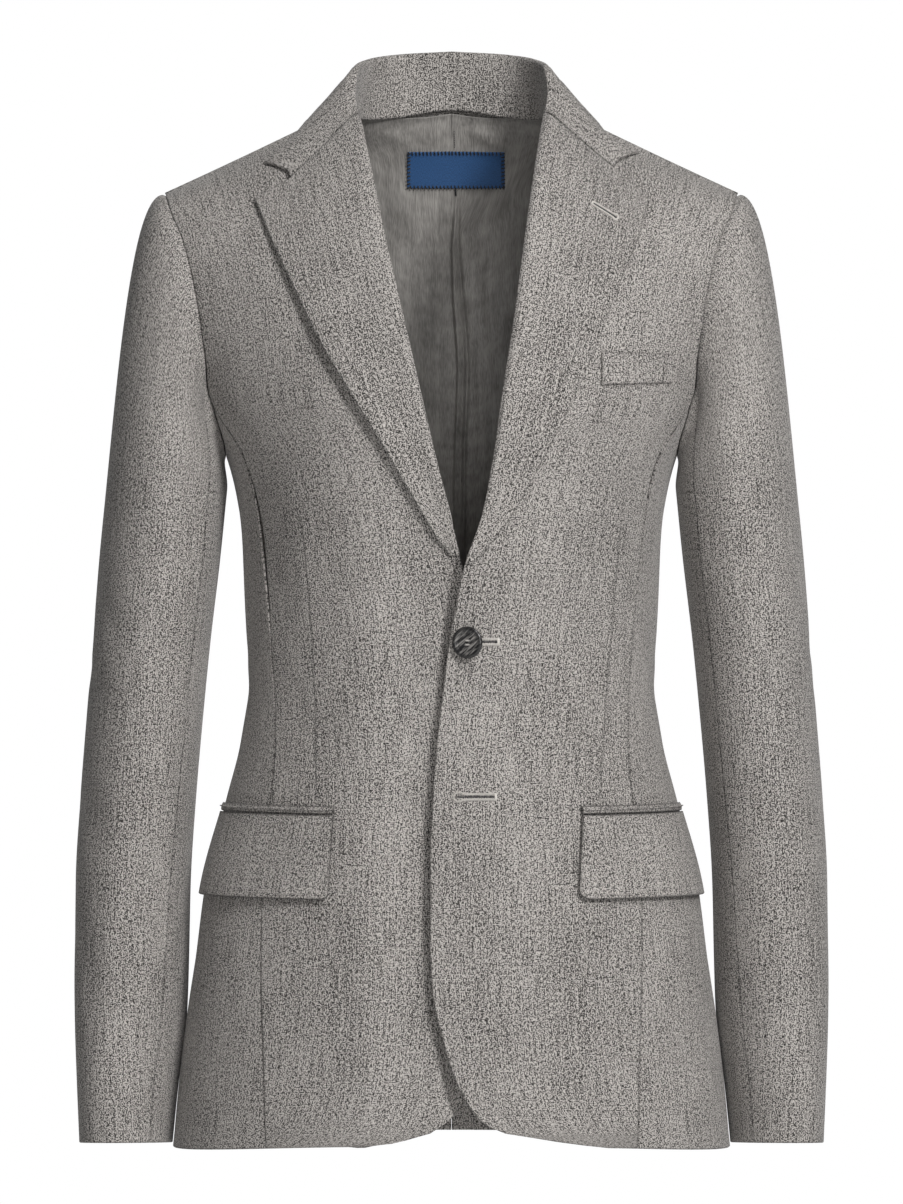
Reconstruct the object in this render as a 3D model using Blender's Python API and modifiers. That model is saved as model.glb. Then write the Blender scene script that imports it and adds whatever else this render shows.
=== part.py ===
"""Single breasted blazer in its worn form: fronts, sides, backs, two-piece sleeves, collar and lapels.

The cloth is a thin wall over named sections of the body. The origin lies at the base of the neck, between
the two shoulder seams. +Z is up, the front faces -Y and the wearer's left is +X. The left front laps over
the right front. Tables and lengths are in millimetres, and MM turns them into Blender's metres.
"""

import math

import bpy
import mathutils
import numpy as np

MM = 0.001

# Cloth and seams
CLOTH = 1.6
SEAM_GAP = 0.3
LINING = 1.0
LINING_GAP = 2.8

# Closure
CENTRE_LINE = 9.5
OVERLAP_DROP = 5.8
OVERLAP_FADE_START = 20.0
OVERLAP_FADE_END = 62.0

# Lapels and collar
ROLL_INSET = 2.6
LAPEL_LIFT = 2.3
COLLAR_LIFT = 2.5
FOLD_RADIUS = 2.3
STAND_INSET = 3.2
STAND_LIFT = 1.0
GORGE_GAP = 1.2

# Neck
NECK_HALF_WIDTH = 71.0
NECK_BACK_DEPTH = 62.0

# Buttons
BUTTON_RADIUS = 10.4
BUTTON_THICKNESS = 2.8
BUTTON_SEAT = 0.45
BUTTON_TOP_Z = -345.7
BUTTON_LOWER_Z = -447.0


def table(columns, rows):
    """Named columns of a short table, each an array with one value a row."""
    return dict(zip(columns.split(), np.array(rows, float).T))


# Sections of the body from hem to underarm. Depths are from the side line to the centre, front and back.
BODY = table(
    "z half_width front back front_seam back_seam",
    [
        (-672.0, 186.6, 122.0, 118.0, 41.0, 57.0),
        (-620.0, 179.5, 119.5, 116.0, 43.5, 57.5),
        (-559.0, 171.5, 116.0, 112.0, 47.0, 58.0),
        (-506.0, 164.5, 113.5, 106.0, 49.5, 58.5),
        (-452.0, 151.0, 110.5, 96.0, 52.5, 59.0),
        (-412.0, 141.0, 108.5, 89.0, 56.0, 60.0),
        (-372.0, 136.3, 108.5, 86.0, 60.0, 60.0),
        (-318.0, 138.6, 111.5, 90.0, 62.0, 61.0),
        (-280.0, 140.5, 116.0, 95.0, 64.0, 62.0),
        (-251.0, 144.0, 119.5, 99.0, 65.0, 63.0),
        (-222.0, 151.0, 121.0, 103.0, 66.5, 64.0),
    ],
)
# The hem's height at the centre, and how far it falls from there to the side line.
HEM_FRONT = (-672.0, -10.0)
HEM_BACK = (-680.0, -2.0)

# Half of the armhole, as the wearer's left one. The angle runs from the shoulder tip round the front.
ARMHOLE_CENTRE_Z = -134.0
ARMHOLE_HALF_HEIGHT = 88.0
ARMHOLE_FRONT = 46.0
ARMHOLE_BACK = 50.0
ARMHOLE_X = table(
    "z x",
    [
        (-222.0, 151.0),
        (-205.0, 155.0),
        (-190.0, 158.0),
        (-170.0, 161.5),
        (-140.0, 166.0),
        (-112.0, 170.5),
        (-85.0, 177.0),
        (-60.0, 187.0),
        (-46.0, 192.0),
    ],
)

# Rows from armhole to shoulder seam: where each ends on the armhole, and its height and depth at the centre.
FRONT_CHEST = table(
    "armhole z depth end_angle bend",
    [
        (130, -192.0, 120.0, 68.0, 2.0),
        (105, -150.0, 113.0, 60.0, 2.0),
        (80, -104.0, 98.0, 54.0, 1.8),
        (55, -54.0, 74.0, 50.0, 1.5),
        (28, -4.0, 42.0, 47.0, 1.2),
        (0, 46.0, 0.0, 45.0, 1.0),
    ],
)
BACK_CHEST = table(
    "armhole z depth end_angle bend",
    [
        (230, -188.0, 105.0, 66.0, 2.0),
        (255, -145.0, 105.0, 61.0, 2.0),
        (280, -98.0, 100.0, 56.0, 1.8),
        (305, -50.0, 87.0, 52.0, 1.5),
        (327, 2.0, 70.0, 48.0, 1.2),
        (342, 27.0, 50.0, 46.0, 1.1),
        (360, 46.0, 0.0, 45.0, 1.0),
    ],
)
UNDERARM_LEVEL = 10.0
ARMHOLE_LEVEL = 11.0
FRONT_TOP_LEVEL = 16.0
BACK_TOP_LEVEL = 17.0

BUST = {"x": 78.0, "z": -196.0, "width": 46.0, "height": 70.0, "rise": 7.0}

# Front edges by height: cutaway corner, closure and roll line. Both are measured towards the wearer's left.
FRONT_EDGE = table(
    "z left right",
    [
        (-673.5, 78.0, -59.0),
        (-670.0, 50.0, -31.0),
        (-662.7, 26.4, -7.4),
        (-645.7, 9.5, 9.5),
        (-624.0, -0.3, 19.3),
        (-601.0, -6.9, 25.9),
        (-579.0, -12.1, 31.1),
        (-540.0, -14.2, 33.2),
        (-488.0, -14.0, 33.0),
        (-432.0, -11.4, 30.4),
        (-399.0, -8.2, 27.2),
        (-346.0, -1.6, 20.6),
        (-320.0, 3.2, 15.8),
        (-305.0, 6.0, 8.0),
        (-290.0, 8.6, 3.6),
        (-207.0, 25.2, -15.6),
        (-122.0, 40.0, -35.0),
        (-62.0, 50.0, -47.0),
        (-21.0, 56.5, -55.2),
        (4.0, 61.0, -61.0),
        (14.0, 71.0, -71.0),
    ],
)


def smooth_curve(at, known, values):
    """Monotone cubic through the known points: a short table gives a smooth edge without overshoot."""
    at = np.clip(at, known[0], known[-1])
    step = np.diff(known)
    slope = np.diff(values) / step
    tangent = np.zeros(len(known))
    same_way = slope[:-1] * slope[1:] > 0
    before = slope[:-1][same_way]
    after = slope[1:][same_way]
    weight_before = (2 * step[1:] + step[:-1])[same_way]
    weight_after = (step[1:] + 2 * step[:-1])[same_way]
    mean = (weight_before + weight_after) / (weight_before / before + weight_after / after)
    tangent[1:-1][same_way] = mean
    tangent[0] = slope[0]
    tangent[-1] = slope[-1]
    index = np.clip(np.searchsorted(known, at, side="right") - 1, 0, len(step) - 1)
    width = step[index]
    part = (at - known[index]) / width
    rest = 1 - part
    return (
        values[index] * (1 + 2 * part) * rest**2
        + values[index + 1] * (3 - 2 * part) * part**2
        + tangent[index] * width * part * rest**2
        - tangent[index + 1] * width * part**2 * rest
    )


def armhole_point(angle):
    """The planned armhole of the left side at an angle in degrees from the shoulder tip."""
    turn = np.radians(angle)
    z = ARMHOLE_CENTRE_Z + ARMHOLE_HALF_HEIGHT * np.cos(turn)
    reach = np.where(np.sin(turn) > 0, ARMHOLE_FRONT, ARMHOLE_BACK)
    return smooth_curve(z, ARMHOLE_X["z"], ARMHOLE_X["x"]), -reach * np.sin(turn), z


def section_rows(chest, depth_column, seam_column, hem):
    """Rows of one half panel as ellipse sections: those of the body, then those that end on the armhole.

    A point at angle a from the centre plane has x = width sin a, y = side_y - (side_y - centre_y) cos a and
    z = centre_z + fall sin(a)^bend. Chest rows get the width, side_y and fall that end them on the armhole.
    """
    count = len(BODY["z"])
    sign = -1.0 if depth_column == "front" else 1.0
    body_z = BODY["z"].copy()
    fall = np.zeros(count)
    body_z[0], fall[0] = hem
    end_x, end_y, end_z = armhole_point(chest["armhole"])
    end = np.radians(chest["end_angle"])
    centre_y = sign * chest["depth"]
    return {
        "centre_z": np.append(body_z, chest["z"]),
        "centre_y": np.append(sign * BODY[depth_column], centre_y),
        "width": np.append(BODY["half_width"], end_x / np.sin(end)),
        "side_y": np.append(np.zeros(count), (end_y - centre_y * np.cos(end)) / (1 - np.cos(end))),
        "fall": np.append(fall, (end_z - chest["z"]) / np.sin(end) ** chest["bend"]),
        "bend": np.append(np.full(count, 2.0), chest["bend"]),
        "end_angle": np.radians(np.append(BODY[seam_column], chest["end_angle"])),
    }


FRONT = section_rows(FRONT_CHEST, "front", "front_seam", HEM_FRONT)
BACK = section_rows(BACK_CHEST, "back", "back_seam", HEM_BACK)


def row_value(rows, name, level):
    return smooth_curve(level, np.arange(len(rows[name]), dtype=float), rows[name])


def section_point(rows, angle, level):
    """Outer face of a half panel at an angle from the centre plane and a row level, for the side at +X."""
    angle, level = np.broadcast_arrays(angle, level)
    sine = np.sin(angle)
    side_y = row_value(rows, "side_y", level)
    x = row_value(rows, "width", level) * sine
    y = side_y - (side_y - row_value(rows, "centre_y", level)) * np.cos(angle)
    z = row_value(rows, "centre_z", level)
    z = z + row_value(rows, "fall", level) * np.abs(sine) ** row_value(rows, "bend", level)
    if rows is FRONT:
        swell = np.exp(-((z - BUST["z"]) / BUST["height"]) ** 2)
        near = np.exp(-((x - BUST["x"]) / BUST["width"]) ** 2)
        far = np.exp(-((x + BUST["x"]) / BUST["width"]) ** 2)
        y = y - BUST["rise"] * swell * (near + far)
    return np.stack([x, y, z], axis=-1)


def unit(vectors):
    return vectors / np.linalg.norm(vectors, axis=-1, keepdims=True)


def surface_normal(surface, first, second, outward):
    """Normal of surface(first, second) from small steps, turned to agree with the outward directions."""
    small = 1e-4
    along = surface(first + small, second) - surface(first - small, second)
    across = surface(first, second + small) - surface(first, second - small)
    normal = unit(np.cross(along, across))
    return normal * np.sign(np.sum(normal * outward))


def body_outward(points):
    """Directions that lead out of the torso from each of its points."""
    out = points * np.array([1.0, 1.0, 0.0])
    return out + np.array([0.0, 0.0, 1.0]) * np.clip(points[..., 2:] + 60.0, 0.0, None)


def front_surface(angle, level):
    return section_point(FRONT, angle, level)


def back_surface(angle, level):
    return section_point(BACK, angle, level)


def trim_angle(level, edge_column, side):
    """Angle at which each front row meets the front edge, found by moving along the row."""
    sign = 1.0 if side > 0 else -1.0
    width = row_value(FRONT, "width", level)
    across = np.zeros(len(level))
    for _ in range(80):
        angle = np.arcsin(np.clip(across / width, -0.99, 0.99))
        z = front_surface(angle, level)[..., 2]
        goal = sign * smooth_curve(z, FRONT_EDGE["z"], FRONT_EDGE[edge_column]) + roll_inset(z)
        across = 0.6 * across + 0.4 * goal
    return np.arcsin(across / width)


def roll_inset(z):
    """How far the front's own edge stops short of the roll line, so that the lapel folds round it."""
    return ROLL_INSET * smooth_step((z + 300.0) / 60.0) * smooth_step((12.0 - z) / 12.0)


def make_wall(name, outer, inner, material, collection):
    """A closed wall from two matching grids of points in millimetres: two faces and the four rims between."""
    rows, columns = outer.shape[:2]
    count = rows * columns
    grid = np.arange(count).reshape(rows, columns)
    quads = np.stack([grid[:-1, :-1], grid[:-1, 1:], grid[1:, 1:], grid[1:, :-1]], axis=-1).reshape(-1, 4)
    ring = np.concatenate([grid[0, :-1], grid[:-1, -1], grid[-1, :0:-1], grid[:0:-1, 0]])
    after = np.roll(ring, -1)
    rim = np.stack([after, ring, ring + count, after + count], axis=-1)
    faces = np.concatenate([quads, quads[:, ::-1] + count, rim])
    points = np.concatenate([outer.reshape(-1, 3), inner.reshape(-1, 3)]) * MM
    mesh = bpy.data.meshes.new(name)
    mesh.from_pydata(points.tolist(), [], faces.tolist())
    mesh.validate()
    volume = sum_volume(points, faces)
    if volume < 0:
        mesh.flip_normals()
    mesh.shade_smooth()
    mesh.set_sharp_from_angle(angle=math.radians(40))
    mesh.materials.append(material)
    piece = bpy.data.objects.new(name, mesh)
    collection.objects.link(piece)
    return piece


def sum_volume(points, faces):
    """Six times the signed volume inside a closed mesh of four-sided faces."""
    corners = points[faces]
    first = np.einsum("ij,ij->i", corners[:, 0], np.cross(corners[:, 1], corners[:, 2]))
    second = np.einsum("ij,ij->i", corners[:, 0], np.cross(corners[:, 2], corners[:, 3]))
    return first.sum() + second.sum()


def mirrored(points, side):
    return points * np.array([side, 1.0, 1.0])


def make_material(name, colour, roughness, metallic=0.0):
    material = bpy.data.materials.new(name)
    material.use_nodes = True
    shader = material.node_tree.nodes["Principled BSDF"]
    shader.inputs["Base Color"].default_value = (*colour, 1.0)
    shader.inputs["Roughness"].default_value = roughness
    shader.inputs["Metallic"].default_value = metallic
    material.diffuse_color = (*colour, 1.0)
    return material


HEM_LEVELS = (0.0, 0.03, 0.09, 0.18, 0.32, 0.5, 0.74)
BODY_LEVELS = np.concatenate([HEM_LEVELS, np.linspace(1.0, ARMHOLE_LEVEL, 13)])
FRONT_LEVELS = np.concatenate([BODY_LEVELS, np.linspace(ARMHOLE_LEVEL, FRONT_TOP_LEVEL, 9)[1:]])
NECKLINE_LEVELS = (15.0, 15.42, 15.56, 15.8, 16.15, 16.6, BACK_TOP_LEVEL)
BACK_LEVELS = np.concatenate([BODY_LEVELS, np.linspace(ARMHOLE_LEVEL, 15.0, 7)[1:-1], NECKLINE_LEVELS])
FRONT_COLUMNS = 10
BACK_COLUMNS = 9
SIDE_COLUMNS = 4


def smooth_step(value):
    value = np.clip(value, 0.0, 1.0)
    return value * value * (3 - 2 * value)


def panel_normals(surface, angle, level):
    points = surface(angle, level)
    return surface_normal(surface, angle, level, body_outward(points))


def shoulder_seam_rows(points, normals, gap):
    """Moves the last row half a seam gap off the shoulder line and stands its wall square to that line."""
    points[-1, :, 1] += gap
    normals[-1, :, 1] = 0.0
    normals[-1] = unit(normals[-1])


def front_grid(side):
    """Angles and levels of one front, from its front edge to the side seam and the armhole."""
    level = FRONT_LEVELS
    start = trim_angle(level, "left" if side > 0 else "right", side)
    end = row_value(FRONT, "end_angle", level) - 0.5 * SEAM_GAP / row_value(FRONT, "width", level)
    share = np.linspace(0.0, 1.0, FRONT_COLUMNS)
    angle = start[:, None] + (end - start)[:, None] * share
    return angle, np.broadcast_to(level[:, None], angle.shape)


def overlap_drop(points):
    """How far the right front sinks to pass below the left one, by distance across and by height."""
    fade = OVERLAP_FADE_END - OVERLAP_FADE_START
    across = smooth_step((OVERLAP_FADE_END - points[..., 0]) / fade)
    below_break = smooth_step((-215.0 - points[..., 2]) / 80.0)
    return OVERLAP_DROP * across * below_break


def right_front_surface(angle, level):
    """Outer face of the right front in half coordinates, with its sunk overlap."""
    level = np.clip(level, 0.0, FRONT_TOP_LEVEL)
    points = front_surface(angle, level)
    normals = panel_normals(front_surface, angle, level)
    return points - normals * overlap_drop(points)[..., None]


def build_front(name, side, material, collection):
    angle, level = front_grid(side)
    surface = front_surface if side > 0 else right_front_surface
    points = surface(angle, level)
    normals = panel_normals(surface, angle, level)
    shoulder_seam_rows(points, normals, -0.5 * SEAM_GAP)
    inner = points - normals * CLOTH
    return make_wall(name, mirrored(points, side), mirrored(inner, side), material, collection)


def neckline_angle(level):
    """Angle at which each back row meets the back of the neckline, a half ellipse seen from above."""
    width = row_value(BACK, "width", level)
    across = np.full(len(level), 0.5 * SEAM_GAP)
    for _ in range(80):
        angle = np.arcsin(across / width)
        y = back_surface(angle, level)[..., 1]
        share = np.clip(y / NECK_BACK_DEPTH, 0.0, 1.0)
        goal = np.maximum(NECK_HALF_WIDTH * np.sqrt(1 - share**2), 0.5 * SEAM_GAP)
        across = 0.6 * across + 0.4 * goal
    return np.arcsin(across / width)


def back_grid():
    level = BACK_LEVELS
    start = neckline_angle(level)
    end = row_value(BACK, "end_angle", level) - 0.5 * SEAM_GAP / row_value(BACK, "width", level)
    share = np.linspace(0.0, 1.0, BACK_COLUMNS)
    angle = start[:, None] + (end - start)[:, None] * share
    return angle, np.broadcast_to(level[:, None], angle.shape)


def build_back(name, side, material, collection):
    angle, level = back_grid()
    points = back_surface(angle, level)
    normals = panel_normals(back_surface, angle, level)
    shoulder_seam_rows(points, normals, 0.5 * SEAM_GAP)
    inner = points - normals * CLOTH
    return make_wall(name, mirrored(points, side), mirrored(inner, side), material, collection)


def side_half(rows, surface):
    """Points and normals of the side panel from one seam to the side line, below the armhole."""
    share = np.linspace(0.0, 1.0, SIDE_COLUMNS + 1)
    top = ARMHOLE_LEVEL - (ARMHOLE_LEVEL - UNDERARM_LEVEL) * (1 - (1 - share) ** 2)
    level = BODY_LEVELS[:, None] * (top / ARMHOLE_LEVEL)
    seam = row_value(rows, "end_angle", level) + 0.5 * SEAM_GAP / row_value(rows, "width", level)
    angle = seam + (0.5 * math.pi - seam) * share
    return surface(angle, level), panel_normals(surface, angle, level)


def side_grid():
    front_points, front_normals = side_half(FRONT, front_surface)
    back_points, back_normals = side_half(BACK, back_surface)
    middle_points = 0.5 * (front_points[:, -1:] + back_points[:, -1:])
    middle_normals = unit(front_normals[:, -1:] + back_normals[:, -1:])
    points = np.concatenate([front_points[:, :-1], middle_points, back_points[:, -2::-1]], axis=1)
    normals = np.concatenate([front_normals[:, :-1], middle_normals, back_normals[:, -2::-1]], axis=1)
    return points, normals


def build_side(name, side, material, collection):
    points, normals = side_grid()
    inner = points - normals * CLOTH
    return make_wall(name, mirrored(points, side), mirrored(inner, side), material, collection)


def armhole_loop():
    """Angles and points of the armhole's real edge: down the front, below the arm and up the back."""
    front_level = np.linspace(FRONT_TOP_LEVEL, ARMHOLE_LEVEL, 41)
    front = front_surface(row_value(FRONT, "end_angle", front_level), front_level)
    side = side_grid()[0][-1]
    back_level = np.linspace(ARMHOLE_LEVEL, BACK_TOP_LEVEL, 41)
    back = back_surface(row_value(BACK, "end_angle", back_level), back_level)
    points = np.concatenate([front, side[1:-1], back])
    angle = np.arctan2(-points[:, 1], points[:, 2] - ARMHOLE_CENTRE_Z)
    angle = np.where(angle < -1e-9, angle + 2 * math.pi, angle)
    angle[0] = 0.0
    angle[-1] = 2 * math.pi
    return angle, points


# Sleeve sections from cuff to upper arm, for the left side: outer and inner reach from the centre plane,
# half depth from front to back, and how far the middle of the section lies from the side line.
SLEEVE = table(
    "z outer inner half_depth y",
    [
        (-681.0, 248.0, 189.6, 46.0, -16.0),
        (-640.0, 250.0, 186.2, 47.0, -13.0),
        (-600.0, 251.6, 181.6, 48.5, -9.0),
        (-560.0, 252.4, 177.6, 50.5, -5.0),
        (-506.0, 251.8, 175.2, 53.0, -1.0),
        (-452.0, 249.0, 172.0, 55.0, 2.0),
        (-399.0, 245.0, 167.6, 57.0, 4.0),
        (-345.0, 240.5, 161.6, 58.5, 4.0),
        (-290.0, 236.0, 155.0, 60.0, 3.0),
        (-245.0, 231.5, 150.4, 61.0, 1.0),
    ],
)
# Directions in which the sleeve cap leaves the armhole, round from the shoulder tip past the front.
CAP = table(
    "angle out forward drop",
    [
        (0, 19, 0, 0),
        (45, 17, 9, 9),
        (90, 12, 10, 22),
        (135, 6, 6, 13),
        (180, 3.5, 0, 8),
        (225, 6, -6, 13),
        (270, 12, -10, 22),
        (315, 17, -9, 9),
        (360, 19, 0, 0),
    ],
)
SLEEVE_TOP_LEVEL = 9.0
SLEEVE_MIDDLE_X = 205.0
SLEEVE_RADIUS = 50.0
CAP_CLEARANCE = 0.6
FOREARM_SEAM = 125.0
HINDARM_SEAM = 265.0
SLEEVE_LEVELS = np.linspace(0.0, SLEEVE_TOP_LEVEL, 11)
CAP_SHARES = np.linspace(0.0, 1.0, 8)[1:]
UPPER_COLUMNS = 12
UNDER_COLUMNS = 8
ARMHOLE_ANGLES, ARMHOLE_POINTS = armhole_loop()


def sleeve_ring(angle, level):
    """Oval section of the left sleeve: the angle runs from the outer side past the front."""
    outer = row_value(SLEEVE, "outer", level)
    inner = row_value(SLEEVE, "inner", level)
    x = 0.5 * (outer + inner) + 0.5 * (outer - inner) * np.cos(angle)
    y = row_value(SLEEVE, "y", level) - row_value(SLEEVE, "half_depth", level) * np.sin(angle)
    return np.stack([x, y, row_value(SLEEVE, "z", level)], axis=-1)


def sleeve_surface(angle, height):
    """Outer face of the left sleeve: height 0 to 1 is the tube, 1 to 2 the cap's Bezier up to the armhole."""
    angle, height = np.broadcast_arrays(angle, height)
    turn = np.mod(angle, 2 * math.pi)
    tube = sleeve_ring(angle, np.clip(height, 0.0, 1.0) * SLEEVE_TOP_LEVEL)
    top = sleeve_ring(angle, np.full(angle.shape, SLEEVE_TOP_LEVEL))
    step = top - sleeve_ring(angle, np.full(angle.shape, SLEEVE_TOP_LEVEL - 0.02))
    rise = step / step[..., 2:]
    edge = [np.interp(turn, ARMHOLE_ANGLES, ARMHOLE_POINTS[:, axis]) for axis in range(3)]
    reach = [smooth_curve(turn, np.radians(CAP["angle"]), CAP[name]) for name in ("out", "forward", "drop")]
    away = np.stack([reach[0], -reach[1], -reach[2]], axis=-1)
    edge = np.stack(edge, axis=-1) + unit(away) * CAP_CLEARANCE
    lower = top + rise * 0.5 * (edge - top)[..., 2:]
    upper = edge + away
    part = np.clip(height - 1.0, 0.0, 1.0)[..., None]
    rest = 1 - part
    cap = rest**3 * top + 3 * rest**2 * part * lower + 3 * rest * part**2 * upper + part**3 * edge
    return np.where((height > 1.0)[..., None], cap, tube)


def build_sleeve(name, side, start, end, columns, material, collection):
    """One sleeve panel between two lengthwise seams, given in degrees round the sleeve."""
    trim = 0.5 * SEAM_GAP / SLEEVE_RADIUS
    angle = np.linspace(math.radians(start) + trim, math.radians(end) - trim, columns)
    height = np.concatenate([SLEEVE_LEVELS / SLEEVE_TOP_LEVEL, 1.0 + CAP_SHARES])
    height = np.minimum(height, 2.0 - 1e-3)[:, None]
    angle = np.broadcast_to(angle, (len(height), columns))
    height = np.broadcast_to(height, angle.shape)
    points = sleeve_surface(angle, height)
    outward = (points - np.array([SLEEVE_MIDDLE_X, 0.0, 0.0])) * np.array([1.0, 1.0, 0.0])
    normals = surface_normal(sleeve_surface, angle, height, outward)
    inner = points - normals * CLOTH
    return make_wall(name, mirrored(points, side), mirrored(inner, side), material, collection)


# Where the notch of each lapel lies, seen from the front: its inner corner and the tips of collar and lapel.
NOTCH = {
    1: {"corner": (107.1, -29.7), "collar_tip": (125.0, -20.2), "lapel_tip": (130.2, -53.2), "roll_z": -4.0},
    -1: {"corner": (106.5, -35.6), "collar_tip": (124.4, -26.2), "lapel_tip": (129.6, -52.5), "roll_z": 3.0},
}
# Rows across each lapel from break to gorge: the height of its roll line, its outer edge and how far that
# edge stands off the chest.
LAPEL = {
    1: table(
        "roll_z edge_x edge_z stand_off",
        [
            (-294, 13.5, -295.0, 0.0),
            (-262, 36.5, -267.0, 0.0),
            (-222, 58.5, -228.0, 0.0),
            (-180, 77.5, -191.0, 0.2),
            (-135, 96.0, -147.0, 0.4),
            (-92, 111.5, -107.0, 0.6),
            (-50, 123.5, -78.0, 0.8),
            (-4, 130.2, -53.2, 1.0),
        ],
    ),
    -1: table(
        "roll_z edge_x edge_z stand_off",
        [
            (-289, 2.8, -289.0, 0.5),
            (-262, 17.0, -264.0, 2.5),
            (-222, 38.5, -227.0, 4.5),
            (-180, 60.0, -191.0, 5.5),
            (-135, 83.0, -152.0, 5.0),
            (-92, 101.5, -115.0, 3.5),
            (-48, 117.5, -82.0, 2.0),
            (3, 129.6, -52.5, 1.2),
        ],
    ),
}
# The rolled profile of a lapel from below the fold to its outer edge: share of the width, reach past the
# front's edge and height over the front, on a full-width row.
LAPEL_PROFILE = table(
    "place share reach lift",
    [
        (0.00, 0.00, -2.3, -1.0),
        (0.10, 0.00, -2.7, 1.2),
        (0.20, 0.00, -1.0, 3.6),
        (0.32, 0.05, 0.0, 4.8),
        (0.50, 0.22, 0.0, 4.0),
        (0.70, 0.50, 0.0, 2.9),
        (0.86, 0.78, 0.0, 2.4),
        (1.00, 1.00, 0.0, 2.3),
    ],
)
LAPEL_PLACES = np.array([0.0, 0.05, 0.1, 0.15, 0.2, 0.26, 0.34, 0.43, 0.54, 0.68, 0.84, 1.0])
LAPEL_ROWS = 16
FULL_ROLL_WIDTH = 42.0
NOTCH_SHARE = 0.66

# Stations of one half of the collar from the centre back to the gorge: its neck seam and its fall's edge seen
# from above, and its fold.
COLLAR = table(
    "neck_x neck_y fold_x fold_y fold_z edge_x edge_y",
    [
        (0.0, 62.0, 0.0, 57.0, 54.0, 0.0, 70.0),
        (38.7, 52.0, 34.0, 50.0, 51.5, 45.0, 66.0),
        (62.7, 29.1, 54.0, 28.0, 46.5, 83.0, 45.0),
        (71.0, 0.0, 62.0, 0.0, 39.0, 106.0, 8.0),
        (66.0, -12.0, 64.0, -10.0, 23.0, 118.0, -4.0),
    ],
)
COLLAR_STATIONS = np.array([0.0, 0.5, 1.0, 1.5, 2.0, 2.5, 3.0, 3.5, 4.0, 4.35, 4.7, 5.0])
STAND_SHARES = (0.0, 0.5, 1.0)
FALL_SHARES = (0.0, 0.2, 0.42, NOTCH_SHARE, 0.83, 1.0)
FOLD_ANGLES = np.radians([180.0, 135.0, 90.0, 45.0, 0.0])


def locate(surface, goal, axes, angle, level, top):
    """Newton steps to the angle and level where a panel's surface meets the goal on two of its axes."""
    small = 1e-4
    for _ in range(14):
        miss = surface(angle, level)[..., axes] - goal
        turn = (surface(angle + small, level) - surface(angle - small, level))[..., axes] / (2 * small)
        rise = (surface(angle, level + small) - surface(angle, level - small))[..., axes] / (2 * small)
        flat = turn[..., 0] * rise[..., 1] - turn[..., 1] * rise[..., 0]
        flat = np.where(np.abs(flat) < 1e-6, 1e-6, flat)
        angle_step = (miss[..., 0] * rise[..., 1] - miss[..., 1] * rise[..., 0]) / flat
        level_step = (turn[..., 0] * miss[..., 1] - turn[..., 1] * miss[..., 0]) / flat
        angle = np.clip(angle - np.clip(angle_step, -0.2, 0.2), -0.6, 1.6)
        level = np.clip(level - np.clip(level_step, -0.8, 0.8), 0.01, top - 0.01)
    return angle, level


def on_front(surface, x, z):
    """Points and normals of a front at places seen from the front."""
    x, z = np.broadcast_arrays(np.asarray(x, float), np.asarray(z, float))
    level = np.interp(z, FRONT["centre_z"], np.arange(len(FRONT["centre_z"]), dtype=float))
    angle = np.arcsin(np.clip(x / row_value(FRONT, "width", level), -0.9, 0.9))
    angle, level = locate(surface, np.stack([x, z], axis=-1), [0, 2], angle, level, FRONT_TOP_LEVEL)
    return surface(angle, level), panel_normals(surface, angle, level)


def on_shoulders(x, y):
    """Points and normals of the front or back near the shoulder line, at places seen from above."""
    goal = np.stack([x, y], axis=-1)
    depth = FRONT["centre_y"][11:]
    level = np.interp(np.minimum(y, 0.0), depth, np.arange(11.0, 17.0))
    angle = np.arcsin(np.clip(x / row_value(FRONT, "width", level), -0.9, 0.9))
    before = locate(front_surface, goal, [0, 1], angle, level, FRONT_TOP_LEVEL)
    depth = -BACK["centre_y"][11:]
    level = np.interp(-np.maximum(y, 0.0), depth, np.arange(11.0, 18.0))
    angle = np.arcsin(np.clip(x / row_value(BACK, "width", level), -0.9, 0.9))
    behind = locate(back_surface, goal, [0, 1], angle, level, BACK_TOP_LEVEL)
    is_front = (y < 0)[..., None]
    points = np.where(is_front, front_surface(*before), back_surface(*behind))
    normals = np.where(is_front, panel_normals(front_surface, *before), panel_normals(back_surface, *behind))
    return points, normals


def front_of(side):
    return front_surface if side > 0 else right_front_surface


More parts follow.
